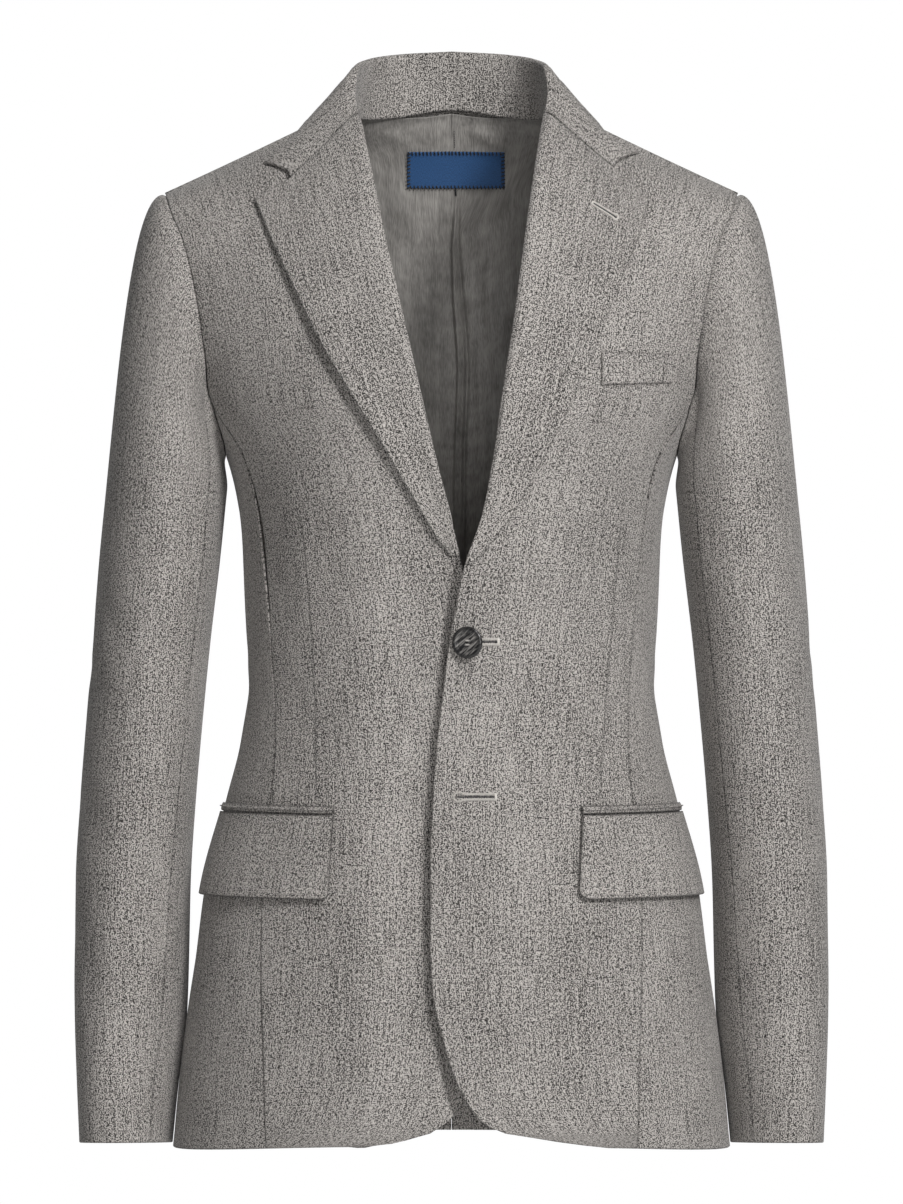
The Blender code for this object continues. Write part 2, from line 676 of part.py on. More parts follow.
def lapel_surface(side, place, row):
    """Visible face of a lapel in half coordinates, folded round the front's edge and laid over the chest."""
    place, row = np.broadcast_arrays(np.asarray(place, float), np.asarray(row, float))
    columns = LAPEL[side]
    known = np.arange(len(columns["roll_z"]), dtype=float)
    roll_z = smooth_curve(row, known, columns["roll_z"])
    edge_name = "left" if side > 0 else "right"
    roll_x = side * smooth_curve(roll_z, FRONT_EDGE["z"], FRONT_EDGE[edge_name]) + roll_inset(roll_z)
    across_x = smooth_curve(row, known, columns["edge_x"]) - roll_x
    across_z = smooth_curve(row, known, columns["edge_z"]) - roll_z
    width = np.hypot(across_x, across_z)
    fullness = smooth_step(width / FULL_ROLL_WIDTH)
    known_place = LAPEL_PROFILE["place"]
    share = smooth_curve(place, known_place, LAPEL_PROFILE["share"])
    reach = smooth_curve(place, known_place, LAPEL_PROFILE["reach"]) * fullness
    lift = smooth_curve(place, known_place, LAPEL_PROFILE["lift"])
    stand_off = smooth_curve(row, known, columns["stand_off"]) * smooth_step((share - 0.35) / 0.65)
    lift = LAPEL_LIFT + (lift - LAPEL_LIFT) * fullness + stand_off
    x = roll_x + across_x * (share + reach / width)
    z = roll_z + across_z * (share + reach / width)
    corner = NOTCH[side]["corner"]
    gorge_x = [roll_x.flat[-1], columns["edge_x"][-1]]
    gorge_z = [roll_z.flat[-1], columns["edge_z"][-1]]
    straight_z = np.interp(corner[0], gorge_x, gorge_z)
    tent = np.minimum(share / NOTCH_SHARE, (1 - share) / (1 - NOTCH_SHARE))
    near_top = np.clip((row - known[-1] + 2.0) / 2.0, 0.0, 1.0) ** 2
    z = z + (corner[1] - straight_z) * tent * near_top
    points, normals = on_front(front_of(side), x, z)
    return points + normals * lift[..., None]


def grid_normals(points, outward):
    """Normals of a grid of points from its neighbours, turned to agree with the outward directions."""
    normal = unit(np.cross(np.gradient(points, axis=0), np.gradient(points, axis=1)))
    return normal * np.sign(np.sum(normal * outward))


def build_lapel(name, side, material, collection):
    row = np.linspace(0.0, len(LAPEL[side]["roll_z"]) - 1.0, LAPEL_ROWS)[:, None]
    points = lapel_surface(side, LAPEL_PLACES[None, :], row)
    normals = grid_normals(points, np.array([0.2, -1.0, 0.2]))
    inner = points - normals * CLOTH
    return make_wall(name, mirrored(points, side), mirrored(inner, side), material, collection)


def collar_half(side):
    """Visible face of half the collar: rows from the centre back to the gorge, columns from stand to edge."""
    station = COLLAR_STATIONS
    top_row = len(LAPEL[side]["roll_z"]) - 1.0
    lapel_top = lapel_surface(side, LAPEL_PLACES, np.full(len(LAPEL_PLACES), top_row))
    lapel_share = smooth_curve(LAPEL_PLACES, LAPEL_PROFILE["place"], LAPEL_PROFILE["share"])
    rise = np.array([0.0, 0.0, GORGE_GAP])
    fold_end = lapel_top[3] + rise
    stand_end = lapel_top[0] + rise
    notch = NOTCH[side]
    x, z = np.array([notch["corner"], notch["collar_tip"]]).T
    ends = on_front(front_surface, x, z)[0]
    corner, tip = ends + np.array([0.0, 0.0, GORGE_GAP])
    known = np.arange(6.0)
    end_values = {
        "neck_x": stand_end[0] + STAND_INSET,
        "neck_y": stand_end[1],
        "fold_x": fold_end[0],
        "fold_y": fold_end[1],
        "fold_z": fold_end[2],
        "edge_x": tip[0],
        "edge_y": tip[1],
    }
    value = {}
    for column, last in end_values.items():
        value[column] = smooth_curve(station, known, np.append(COLLAR[column], last))
    foot_plan = np.stack([value["neck_x"], value["neck_y"]], axis=-1)
    foot_plan = foot_plan - unit(foot_plan) * STAND_INSET
    foot = on_shoulders(foot_plan[:, 0], foot_plan[:, 1])[0]
    foot[:, 2] += STAND_LIFT
    foot[-1] = stand_end
    fold = np.stack([value["fold_x"], value["fold_y"], value["fold_z"]], axis=-1)
    edge_plan = np.stack([value["edge_x"], value["edge_y"]], axis=-1)
    away = np.zeros_like(fold)
    away[:, :2] = unit(edge_plan - fold[:, :2])
    up = np.array([0.0, 0.0, 1.0])
    radius = FOLD_RADIUS * np.where(station > 4.0, 1 - 0.55 * (station - 4.0), 1.0)[:, None]
    under_fold = fold - up * radius
    columns = []
    for share in STAND_SHARES:
        columns.append(foot + (under_fold - foot) * share)
    centre = under_fold + away * radius
    for angle in FOLD_ANGLES[1:-1]:
        columns.append(centre + away * radius * math.cos(angle) + up * radius * math.sin(angle))
    start = centre + away * radius
    base, normal = on_shoulders(start[:, 0], start[:, 1])
    gap = (start - base - normal * COLLAR_LIFT)[:, 2]
    straight = fold[-1, :2] + (tip[:2] - fold[-1, :2]) * NOTCH_SHARE
    bent = (corner[:2] - straight) * (np.clip(station - 4.0, 0.0, 1.0) ** 2)[:, None]
    for share in FALL_SHARES:
        tent = min(share / NOTCH_SHARE, (1 - share) / (1 - NOTCH_SHARE))
        plan = start[:, :2] + (edge_plan - start[:, :2]) * share + bent * tent
        base, normal = on_shoulders(plan[:, 0], plan[:, 1])
        column = base + normal * COLLAR_LIFT + up * (gap * (1 - share))[:, None]
        if 0.0 < share <= NOTCH_SHARE:
            along_gorge = [np.interp(share, lapel_share[4:], lapel_top[4:, axis]) for axis in range(3)]
            column[-1] = np.array(along_gorge) + rise
        columns.append(column)
    return np.stack(columns, axis=1)


def build_collar(name, material, collection):
    left = collar_half(1)
    right = mirrored(collar_half(-1), -1)
    points = np.concatenate([right[::-1], left[1:]])
    middle = np.array([0.0, 0.0, 40.0])
    outward = np.zeros_like(points)
    outward[:, -1] = points[:, -1] - middle
    normals = grid_normals(points, outward)
    return make_wall(name, points, points - normals * CLOTH, material, collection)


# Hip pockets. A flap hangs below its jet; both run from an inner end to the side line.
FLAP_TOP_Z = -459.6
FLAP_DEPTH = 55.5
FLAP_CORNER = 8.0
FLAP_CLOTH = 1.8
FLAP_HANG = 1.0
POCKET_LIFT = 0.6
JET_GAP = 0.7
JET_HEIGHT = 5.6
JET_CLOTH = 1.2
FLAP_END_ANGLE = math.radians(87.0)
FLAP_INNER_X = {1: (84.9, 82.6), -1: (76.4, 79.8)}
FLAP_LENGTH = 112.0
FLAP_COLUMNS = (0.0, 0.012, 0.035, 0.07, 0.18, 0.3, 0.42, 0.54, 0.66, 0.78, 0.89, 1.0)
FLAP_ROWS = (0.0, 0.3, 0.6, 0.85, 1.0)

# Breast pocket welt of the left front: its ends and its upper and lower edges.
WELT = {"inner_x": 98.0, "outer_x": 145.5, "top_z": -155.6, "bottom_z": -177.6, "slant": 3.0}
WELT_LIFT = 0.4
WELT_CLOTH = 1.2

# Lining of the back with its centre pleat, and the bare label above the pleat.
LINING_HEM_LEVEL = 0.35
LINING_SHARE = 0.965
PLEAT_DEPTH = 5.0
PLEAT_HALF_WIDTH = 6.5
PLEAT_TOP_Z = -40.0
PLEAT_FADE = 45.0
LINING_COLUMNS = (0.0, 0.03, 0.065, 0.12, 0.19, 0.28, 0.44, 0.62, 0.81, 1.0)
LINING_ROWS = 20
LINING_SEAM = 0.12
LABEL_REST = 1.2
LABEL = {"left_x": -31.0, "right_x": 37.2, "top_z": -11.0, "bottom_z": -36.0, "thickness": 0.8}


def level_at(z):
    """Row level of the skirt and waist at a height, where the rows are level."""
    level = np.linspace(0.9, UNDERARM_LEVEL, 400)
    return np.interp(z, row_value(FRONT, "centre_z", level), level)


def hip_patch(inner_x, columns, z, top_lift, bottom_lift, thickness):
    """Outer and inner points of cloth on the hip, from an inner reach along each row to the side line."""
    level = level_at(z)
    start = np.arcsin(inner_x / row_value(FRONT, "width", level))
    angle = start + (FLAP_END_ANGLE - start) * columns
    points = front_surface(angle, level)
    normals = panel_normals(front_surface, angle, level)
    drop = (z.max() - z) / (z.max() - z.min())
    lift = (top_lift + (bottom_lift - top_lift) * drop)[..., None]
    return points + normals * (lift + thickness), points + normals * lift


def build_flap(name, side, material, collection):
    columns = np.array(FLAP_COLUMNS)[None, :]
    rows = np.array(FLAP_ROWS)[:, None]
    top_x, bottom_x = FLAP_INNER_X[side]
    distance = np.clip(columns * FLAP_LENGTH, 0.0, FLAP_CORNER)
    rounding = FLAP_CORNER - np.sqrt(FLAP_CORNER**2 - (FLAP_CORNER - distance) ** 2)
    z = FLAP_TOP_Z - rows * (FLAP_DEPTH - rounding)
    inner_x = top_x + (bottom_x - top_x) * rows
    outer, inner = hip_patch(inner_x, columns, z, POCKET_LIFT, POCKET_LIFT + FLAP_HANG, FLAP_CLOTH)
    return make_wall(name, mirrored(outer, side), mirrored(inner, side), material, collection)


def build_jet(name, side, material, collection):
    columns = np.array(FLAP_COLUMNS)[None, :]
    rows = np.array([0.0, 1.0])[:, None]
    z = FLAP_TOP_Z + JET_GAP + JET_HEIGHT * (1 - rows) + 0.0 * columns
    inner_x = FLAP_INNER_X[side][0] - JET_GAP
    outer, inner = hip_patch(inner_x, columns, z, POCKET_LIFT, POCKET_LIFT, JET_CLOTH)
    return make_wall(name, mirrored(outer, side), mirrored(inner, side), material, collection)


def build_welt(name, material, collection):
    across = np.linspace(0.0, 1.0, 5)[None, :]
    down = np.linspace(0.0, 1.0, 3)[:, None]
    x = WELT["inner_x"] + (WELT["outer_x"] - WELT["inner_x"]) * across
    z = WELT["top_z"] + (WELT["bottom_z"] - WELT["top_z"] + WELT["slant"] * across) * down
    points, normals = on_front(front_surface, x, z)
    outer = points + normals * (WELT_LIFT + WELT_CLOTH)
    return make_wall(name, outer, points + normals * WELT_LIFT, material, collection)


def lining_pleat(points):
    """How far the lining stands in from the back along its centre pleat."""
    across = np.exp(-((points[..., 0] / PLEAT_HALF_WIDTH) ** 2) * 2.0)
    below = smooth_step((PLEAT_TOP_Z - points[..., 2]) / PLEAT_FADE)
    return PLEAT_DEPTH * across * below


def build_lining(name, material, collection):
    """Lining over both backs, inside them, from the neck seam to just above the hem."""
    neck_levels = np.linspace(NECKLINE_LEVELS[1], BACK_TOP_LEVEL, 60)
    end = row_value(BACK, "end_angle", neck_levels) * LINING_SHARE
    neck_shares = neckline_angle(neck_levels) / end
    half = np.array(LINING_COLUMNS)
    share = np.concatenate([-half[:0:-1], half])
    top = np.interp(np.abs(share), neck_shares, neck_levels) - LINING_SEAM
    down = 1.0 - np.linspace(1.0, 0.0, LINING_ROWS)[:, None] ** 1.6
    level = LINING_HEM_LEVEL + (top - LINING_HEM_LEVEL) * down
    angle = np.abs(share) * LINING_SHARE * row_value(BACK, "end_angle", level)
    base = back_surface(angle, level)
    normals = panel_normals(back_surface, angle, level)
    depth = CLOTH + LINING_GAP + lining_pleat(base)
    flip = np.stack([np.where(share < 0, -1.0, 1.0), np.ones(len(share)), np.ones(len(share))], axis=-1)
    seen = (base - normals * (depth + LINING)[..., None]) * flip
    hidden = (base - normals * depth[..., None]) * flip
    return make_wall(name, seen, hidden, material, collection)


def build_label(name, material, collection):
    across = np.linspace(0.0, 1.0, 7)[None, :]
    down = np.linspace(0.0, 1.0, 3)[:, None]
    x = LABEL["left_x"] + (LABEL["right_x"] - LABEL["left_x"]) * across
    z = LABEL["top_z"] + (LABEL["bottom_z"] - LABEL["top_z"]) * down + 0.0 * across
    x = x + 0.0 * down
    level = np.interp(z, BACK["centre_z"], np.arange(len(BACK["centre_z"]), dtype=float))
    angle = np.arcsin(np.abs(x) / row_value(BACK, "width", level))
    goal = np.stack([np.abs(x), z], axis=-1)
    angle, level = locate(back_surface, goal, [0, 2], angle, level, BACK_TOP_LEVEL)
    base = back_surface(angle, level)
    normals = panel_normals(back_surface, angle, level)
    flip = np.stack([np.sign(x), np.ones_like(x), np.ones_like(x)], axis=-1)
    rest = CLOTH + LINING_GAP + LINING + LABEL_REST
    seen = (base - normals * (rest + LABEL["thickness"])) * flip
    hidden = (base - normals * rest) * flip
    return make_wall(name, seen, hidden, material, collection)


# Half section of a button, radius and height, from the middle of its dished face round to its back.
BUTTON_PROFILE = (
    (0.0, 2.0),
    (6.8, 2.0),
    (7.6, 2.45),
    (8.6, BUTTON_THICKNESS),
    (9.6, BUTTON_THICKNESS - 0.1),
    (10.2, 2.2),
    (BUTTON_RADIUS, 1.6),
    (9.6, 0.5),
    (7.5, 0.0),
    (0.0, 0.0),
)
BUTTON_SIDES = 22


def build_button(name, centre, normal, material, collection):
    """A turned four-hole button blank on the cloth, its axis along the cloth's normal."""
    profile = bpy.data.meshes.new(name)
    points = [(radius * MM, 0.0, height * MM) for radius, height in BUTTON_PROFILE]
    edges = [(index, index + 1) for index in range(len(points) - 1)]
    profile.from_pydata(points, edges, [])
    button = bpy.data.objects.new(name, profile)
    collection.objects.link(button)
    turn = button.modifiers.new("turn", "SCREW")
    turn.steps = BUTTON_SIDES
    turn.render_steps = BUTTON_SIDES
    turn.use_merge_vertices = True
    turn.merge_threshold = 0.00001
    profile.materials.append(material)
    axis = mathutils.Vector(normal)
    button.rotation_mode = "QUATERNION"
    button.rotation_quaternion = axis.to_track_quat("Z", "Y")
    button.location = mathutils.Vector(centre) * MM
    return button


def front_place(side, x, z, lift):
    """One place on a front and its normal, in the garment's own frame."""
    points, normals = on_front(front_of(side), np.array([side * x]), np.array([z]))
    centre = mirrored(points + normals * lift, side)[0]
    return centre, mirrored(normals, side)[0]


def clear_scene():
    for item in list(bpy.data.objects):
        bpy.data.objects.remove(item, do_unlink=True)


def main():
    clear_scene()
    blazer = bpy.data.collections.new("Blazer")
    bpy.context.scene.collection.children.link(blazer)
    wool = make_material("wool", (0.17, 0.165, 0.15), 0.85)
    satin = make_material("lining_satin", (0.12, 0.11, 0.095), 0.4)
    woven = make_material("label_weave", (0.012, 0.03, 0.09), 0.6)
    horn = make_material("horn", (0.06, 0.055, 0.055), 0.25)
    for side, word in ((1, "left"), (-1, "right")):
        build_front(f"front_{word}", side, wool, blazer)
        build_side(f"side_panel_{word}", side, wool, blazer)
        build_back(f"back_{word}", side, wool, blazer)
        seams = (HINDARM_SEAM - 360.0, FOREARM_SEAM, HINDARM_SEAM)
        build_sleeve(f"upper_sleeve_{word}", side, seams[0], seams[1], UPPER_COLUMNS, wool, blazer)
        build_sleeve(f"under_sleeve_{word}", side, seams[1], seams[2], UNDER_COLUMNS, wool, blazer)
        build_lapel(f"lapel_{word}", side, wool, blazer)
        build_flap(f"flap_{word}", side, wool, blazer)
        build_jet(f"jet_{word}", side, wool, blazer)
    build_collar("collar", wool, blazer)
    build_welt("breast_welt", wool, blazer)
    build_lining("back_lining", satin, blazer)
    build_label("label", woven, blazer)
    centre, normal = front_place(1, CENTRE_LINE + 1.0, BUTTON_TOP_Z, BUTTON_SEAT)
    build_button("button_top", centre, normal, horn, blazer)
    centre, normal = front_place(-1, CENTRE_LINE, BUTTON_LOWER_Z, BUTTON_SEAT)
    build_button("button_lower", centre, normal, horn, blazer)


main()
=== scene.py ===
"""Single breasted blazer in its hollow worn form, in mid-grey salt-and-pepper worsted wool.

The sections follow the blazer as it is put together: fronts, side panels, backs, sleeves, lapels, collar,
pockets, lining, label, buttonholes, buttons and inner sewing. Lengths are in millimetres until a mesh is
made, and every half panel is the wearer's left one, which the right one mirrors.
"""

import math
from functools import partial

import bpy
import numpy as np
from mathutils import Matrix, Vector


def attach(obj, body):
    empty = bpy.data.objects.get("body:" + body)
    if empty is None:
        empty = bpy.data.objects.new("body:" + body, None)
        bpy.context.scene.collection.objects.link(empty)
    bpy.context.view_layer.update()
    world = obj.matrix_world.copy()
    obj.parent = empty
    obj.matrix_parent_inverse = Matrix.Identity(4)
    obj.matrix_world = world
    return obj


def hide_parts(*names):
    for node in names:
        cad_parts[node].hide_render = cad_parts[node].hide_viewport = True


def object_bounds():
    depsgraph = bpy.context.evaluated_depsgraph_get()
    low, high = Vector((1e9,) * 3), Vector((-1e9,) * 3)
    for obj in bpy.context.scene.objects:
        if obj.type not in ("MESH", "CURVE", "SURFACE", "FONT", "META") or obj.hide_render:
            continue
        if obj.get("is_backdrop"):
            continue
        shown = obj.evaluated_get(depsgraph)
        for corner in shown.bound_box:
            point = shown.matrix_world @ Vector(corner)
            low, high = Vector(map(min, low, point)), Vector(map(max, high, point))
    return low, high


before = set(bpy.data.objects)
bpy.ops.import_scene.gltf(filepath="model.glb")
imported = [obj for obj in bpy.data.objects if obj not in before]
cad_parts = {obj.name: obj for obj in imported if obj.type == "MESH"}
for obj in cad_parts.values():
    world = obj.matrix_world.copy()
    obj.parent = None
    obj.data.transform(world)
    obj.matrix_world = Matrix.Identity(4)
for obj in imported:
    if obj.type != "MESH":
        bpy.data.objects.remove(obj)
cad_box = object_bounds()


# ----------------------------------------
# Studio. The blazer hangs in its worn form over a plain pale floor, as on an unseen figure that is lit by
# a soft window from its own left, a high and a low soft light before it, and a weak one behind.

CAMERA_DISTANCE = 4.6
CAMERA_HEIGHT = -0.3196
FRAME_HEIGHT = 0.8067
SENSOR = 36.0
CLIP_END = 60.0
BLAZER_MIDDLE = (0.0, 0.0, -0.33)
WHITE = (1.0, 1.0, 1.0)
WARM = (1.0, 0.99, 0.98)
# Name, place, size, power and tint of each soft light. All look at the middle of the blazer.
LIGHTS = (
    ("window", (1.6, -3.0, 1.3), 0.7, 78.0, WARM),
    ("high", (0.9, -2.4, 2.8), 0.7, 45.0, WARM),
    ("low", (-0.15, -3.3, -0.5), 0.7, 16.0, WARM),
    ("back", (0.0, 2.6, 1.2), 2.2, 16.0, WHITE),
)
WORLD_LIGHT = 0.085
FLOOR_Z = -1.42
FLOOR_REACH = 6.0
FLOOR_GREY = (0.86, 0.86, 0.86, 1.0)
FLOOR_ROUGHNESS = 0.9


def placed(name, data):
    """An object that holds the data, linked to the scene."""
    made = bpy.data.objects.new(name, data)
    bpy.context.scene.collection.objects.link(made)
    return made


class Signal:
    """A value that a material's nodes work out over the surface. Arithmetic on it adds Math nodes."""

    def __init__(self, tree, socket=None):
        self.tree = tree
        self.socket = socket

    def node(self, kind, settings=(), sockets=(), out=0):
        """Adds a node of a type: its settings first, then the values or links of its sockets."""
        made = self.tree.nodes.new("ShaderNode" + kind)
        for key, value in dict(settings).items():
            setattr(made, key, value)
        for key, value in dict(sockets).items():
            if isinstance(value, Signal):
                self.tree.links.new(value.socket, made.inputs[key])
            else:
                made.inputs[key].default_value = value
        return Signal(self.tree, made.outputs[out])

    def fact(self, name):
        """A number that the mesh holds for each of its points, from the Attribute node's Fac output."""
        return self.node("Attribute", {"attribute_name": name}, (), 2)

    def feed(self, shader, name):
        self.tree.links.new(self.socket, shader.inputs[name])

    def math(self, operation, *values):
        return self.node("Math", {"operation": operation}, enumerate(values))

    def __add__(self, other):
        return self.math("ADD", self, other)

    def __sub__(self, other):
        return self.math("SUBTRACT", self, other)

    def __rsub__(self, other):
        return self.math("SUBTRACT", other, self)

    def __mul__(self, other):
        return self.math("MULTIPLY", self, other)

    __radd__ = __add__
    __rmul__ = __mul__

    def between(self, low, high):
        """0 below the low value, 1 above the high one, and smooth between."""
        kind = {"interpolation_type": "SMOOTHSTEP"}
        return self.node("MapRange", kind, {"Value": self, "From Min": low, "From Max": high})

    def blend(self, first, second):
        """The first colour where the signal is 0 and the second where it is 1."""
        return self.node("Mix", {"data_type": "RGBA"}, {0: self, 6: (*first, 1.0), 7: (*second, 1.0)}, 2)


def new_material(name, roughness, **constants):
    """A material with a Principled shader, its constant sockets, and a Signal to start its nodes from."""
    material = bpy.data.materials.new(name)
    material.use_nodes = True
    shader = material.node_tree.nodes["Principled BSDF"]
    shader.inputs["Roughness"].default_value = roughness
    for socket, value in constants.items():
        shader.inputs[socket.replace("_", " ")].default_value = value
    return material, shader, Signal(material.node_tree)


camera_data = bpy.data.cameras.new("camera")
camera_data.sensor_width = SENSOR
camera_data.lens = SENSOR * CAMERA_DISTANCE / FRAME_HEIGHT
camera_data.clip_end = CLIP_END
camera = placed("camera", camera_data)
camera.location = (0.0, -CAMERA_DISTANCE, CAMERA_HEIGHT)
camera.rotation_euler = (math.radians(90.0), 0.0, 0.0)
bpy.context.scene.camera = camera
bpy.context.scene.view_settings.view_transform = "Standard"

for name, place, size, power, tint in LIGHTS:
    lamp = bpy.data.lights.new(name, "AREA")
    lamp.shape, lamp.size, lamp.energy, lamp.color = "SQUARE", size, power, tint
    holder = placed(name, lamp)
    holder.location = place
    look = np.subtract(BLAZER_MIDDLE, place)
    pitch = math.acos(-look[2] / np.linalg.norm(look))
    holder.rotation_euler = (pitch, 0.0, math.pi + math.atan2(look[0], -look[1]))

world = bpy.data.worlds.new("studio")
world.use_nodes = True
sky = world.node_tree.nodes["Background"]
sky.inputs["Color"].default_value = (*WHITE, 1.0)
seen = Signal(world.node_tree).node("LightPath")
seen.node("MapRange", (), {"Value": seen, "To Min": WORLD_LIGHT, "To Max": 1.0}).feed(sky, "Strength")
bpy.context.scene.world = world

floor_mesh = bpy.data.meshes.new("floor")
corners = [(x * FLOOR_REACH, y * FLOOR_REACH, FLOOR_Z) for x, y in ((-1, -1), (1, -1), (1, 1), (-1, 1))]
floor_mesh.from_pydata(corners, [], [(0, 1, 2, 3)])
floor_mesh.materials.append(new_material("floor_paint", FLOOR_ROUGHNESS, Base_Color=FLOOR_GREY)[0])
floor = placed("floor", floor_mesh)
floor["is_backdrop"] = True


# ----------------------------------------
# Fronts. Two mirrored halves of wool, each cut in one piece from shoulder seam to hem with a dart that
# is sewn from below the bust to the pocket. The front edge is turned and pressed, and the left front
# laps over the right one. The cloth is a wall over body sections, and its seams sink a little.

CLOTH = 1.6
SEAM_GAP = 0.3
HALF_GAP = 0.5 * SEAM_GAP
GRID_STEP = 4.6
SIDES = ((1, "left"), (-1, "right"))
MIRROR = np.array([-1.0, 1.0, 1.0])


def table(text):
    """Columns of a table, named by its first line, each an array with one value a row."""
    names, *rows = text.split("\n")
    return dict(zip(names.split(), np.array([row.split() for row in rows], float).T))


# Sections from hem to shoulder: height and depth at the centre line, half width, where the side line lies,
# how far the section falls (or rises) to its side with which power, and the angle at which the panel ends.
FRONT = table("""centre_z centre_y width side_y fall bend end_angle
-674.5 -122 186.6 0 -9.5 2 41
-620 -119.5 179.5 0 0 2 43.5
-559 -116 171.5 0 0 2 47
-506 -113.5 164.5 0 0 2 49.5
-452 -110.5 151 0 0 2 52.5
-412 -108.5 141 0 0 2 56
-372 -108.5 136.3 0 0 2 60
-318 -111.5 138.6 0 0 2 62
-280 -116 140.5 0 0 2 64
-251 -119.5 144 0 0 2 65
-222 -121 151 0 0 2 66.5
-192 -120 170.3 15.5 1.7 2 68
-150 -113 188.8 24.1 -9 2 60
-104 -98 209.3 29.8 -21.6 1.8 54
-54 -74 231.7 27.7 -44 1.5 50
-4 -42 257.5 22.2 -76.1 1.2 47
46 0 271.5 0 -130.1 1 45""")
BACK = table("""centre_z centre_y width side_y fall bend end_angle
-682.2 118 186.6 0 -1.8 2 57
-620 116 179.5 0 0 2 57.5
-559 112 171.5 0 0 2 58
-506 106 164.5 0 0 2 58.5
-452 96 151 0 0 2 59
-412 89 141 0 0 2 60
-372 86 136.3 0 0 2 60
-318 90 138.6 0 0 2 61
-280 95 140.5 0 0 2 62
-251 99 144 0 0 2 63
-222 103 151 0 0 2 64
-188 105 172.8 -7.4 -3.1 2 66
-145 105 187 -5.1 -15.4 2 61
-98 100 204.2 -15.2 -29 1.8 56
-50 87 225.2 -32.8 -47.9 1.5 52
2 70 251.5 -59.3 -88.8 1.2 48
27 50 264.8 -63.1 -111.1 1.1 46
46 0 271.5 0 -130.1 1 45""")
for rows in (FRONT, BACK):
    rows["end_angle"] = np.radians(rows["end_angle"])
ARMHOLE_LEVEL = 11.0
BUST = {"x": 78.0, "z": -196.0, "width": 46.0, "height": 70.0, "rise": 7.0}
NECK_Z = -60.0

# The front edge by height, measured towards the wearer's left: cutaway corner, closure, then the roll line.
FRONT_EDGE = table("""z left right
-677.5 104 -80
-675.5 90 -60
-673.5 78 -40
-670 54 -26
-664.9 29 -10.8
-645.7 9.5 9.5
-624 -0.3 19.3
-601 -6.9 25.9
-579 -12.1 31.1
-540 -14.2 33.2
-488 -14 33
-432 -11.4 30.4
-399 -8.2 27.2
-346 -1.6 20.6
-320 3.2 15.8
-305 6 9.5
-290 10 6
-265 18.2 0.9
-240 23.4 -5.2
-214 28.6 -12.1
-187.6 32.4 -18.7
-135 40.6 -30.8
-81.4 47.8 -43
-21 56.5 -55.2
4 61 -61
14 71 -71""")
# The cloth stops short of the roll line by an inset, which sets in above the break and ends at the gorge.
ROLL_INSET, INSET_FROM_Z, INSET_RISE, INSET_TOP_Z = 2.6, -300.0, 60.0, 12.0
# The right front sinks below the left one over the whole overlap, and once more close beneath the edge: how
# deep, from which x inwards and over what width. It does so only below the break.
OVERLAP_SINKS = ((10.0, 62.0, 42.0), (5.5, 9.0, 10.0))
OVERLAP_TOP_Z, OVERLAP_FADE = -215.0, 80.0
SMALL = 1e-4
# Distances from a rim of the grid's close lines, where the even ones start, and how much of the cloth's
# thickness each side rounds off there.
RIM_LINES = np.array([0.0, 0.25, 0.7, 1.5])
RIM_END = 3.5
RIM_SHARE = 0.44


def curve(at, known, values):
    """Monotone cubic through the known points. Slopes are weighted harmonic means, so nothing overshoots."""
    at = np.clip(at, known[0], known[-1])
    width = np.diff(known)
    slope = np.diff(values) / width
    tangent = np.zeros(len(known))
    keep = slope[:-1] * slope[1:] > 0
    before = (2 * width[1:] + width[:-1])[keep]
    after = (width[1:] + 2 * width[:-1])[keep]
    tangent[1:-1][keep] = (before + after) / (before / slope[:-1][keep] + after / slope[1:][keep])
    tangent[0], tangent[-1] = slope[0], slope[-1]
    index = np.clip(np.searchsorted(known, at, side="right") - 1, 0, len(width) - 1)
    part = (at - known[index]) / width[index]
    rest = 1 - part
    return (
        values[index] * (1 + 2 * part) * rest**2
        + values[index + 1] * (3 - 2 * part) * part**2
        + tangent[index] * width[index] * part * rest**2
        - tangent[index + 1] * width[index] * part**2 * rest
    )


def row_value(rows, name, level):
    """A column of a table at a level, which counts its rows."""
    return curve(level, np.arange(len(rows[name]), dtype=float), rows[name])


def last_row(rows):
    return len(next(iter(rows.values()))) - 1.0


def smooth(value):
    """0 below 0, 1 above 1, and 3 v^2 - 2 v^3 between."""
    value = np.clip(value, 0.0, 1.0)
    return value * value * (3 - 2 * value)


def hill(place, middle, wide):
    """exp(-((place - middle) / wide)^2)."""
    return np.exp(-(((place - middle) / wide) ** 2))


def unit(vectors):
    return vectors / np.maximum(np.linalg.norm(vectors, axis=-1, keepdims=True), 1e-12)


def facing(vectors, outward):
    """Unit vectors, all turned together where they disagree with the outward directions."""
    vectors = unit(vectors)
    return vectors * np.sign(np.sum(vectors * outward))


def section(rows, angle, level):
    """x = width sin a, y = side_y - (side_y - centre_y) cos a, z = centre_z + fall sin(a)^bend. Two soft
    hills bring the bust forward on the fronts."""
    angle, level = np.broadcast_arrays(angle, level)
    sine = np.sin(angle)
    side_y = row_value(rows, "side_y", level)
    x = row_value(rows, "width", level) * sine
    y = side_y - (side_y - row_value(rows, "centre_y", level)) * np.cos(angle)
    z = row_value(rows, "centre_z", level)
    z = z + row_value(rows, "fall", level) * np.abs(sine) ** row_value(rows, "bend", level)
    if rows is FRONT:
        both = hill(x, BUST["x"], BUST["width"]) + hill(x, -BUST["x"], BUST["width"])
        y = y - BUST["rise"] * hill(z, BUST["z"], BUST["height"]) * both
    return np.stack([x, y, z], axis=-1)


left_front = partial(section, FRONT)
back_half = partial(section, BACK)


def steps(surface, angle, level):
    """How far a surface's points move between two close angles and between two close levels."""
    turn = surface(angle + SMALL, level) - surface(angle - SMALL, level)
    return turn, surface(angle, level + SMALL) - surface(angle, level - SMALL)


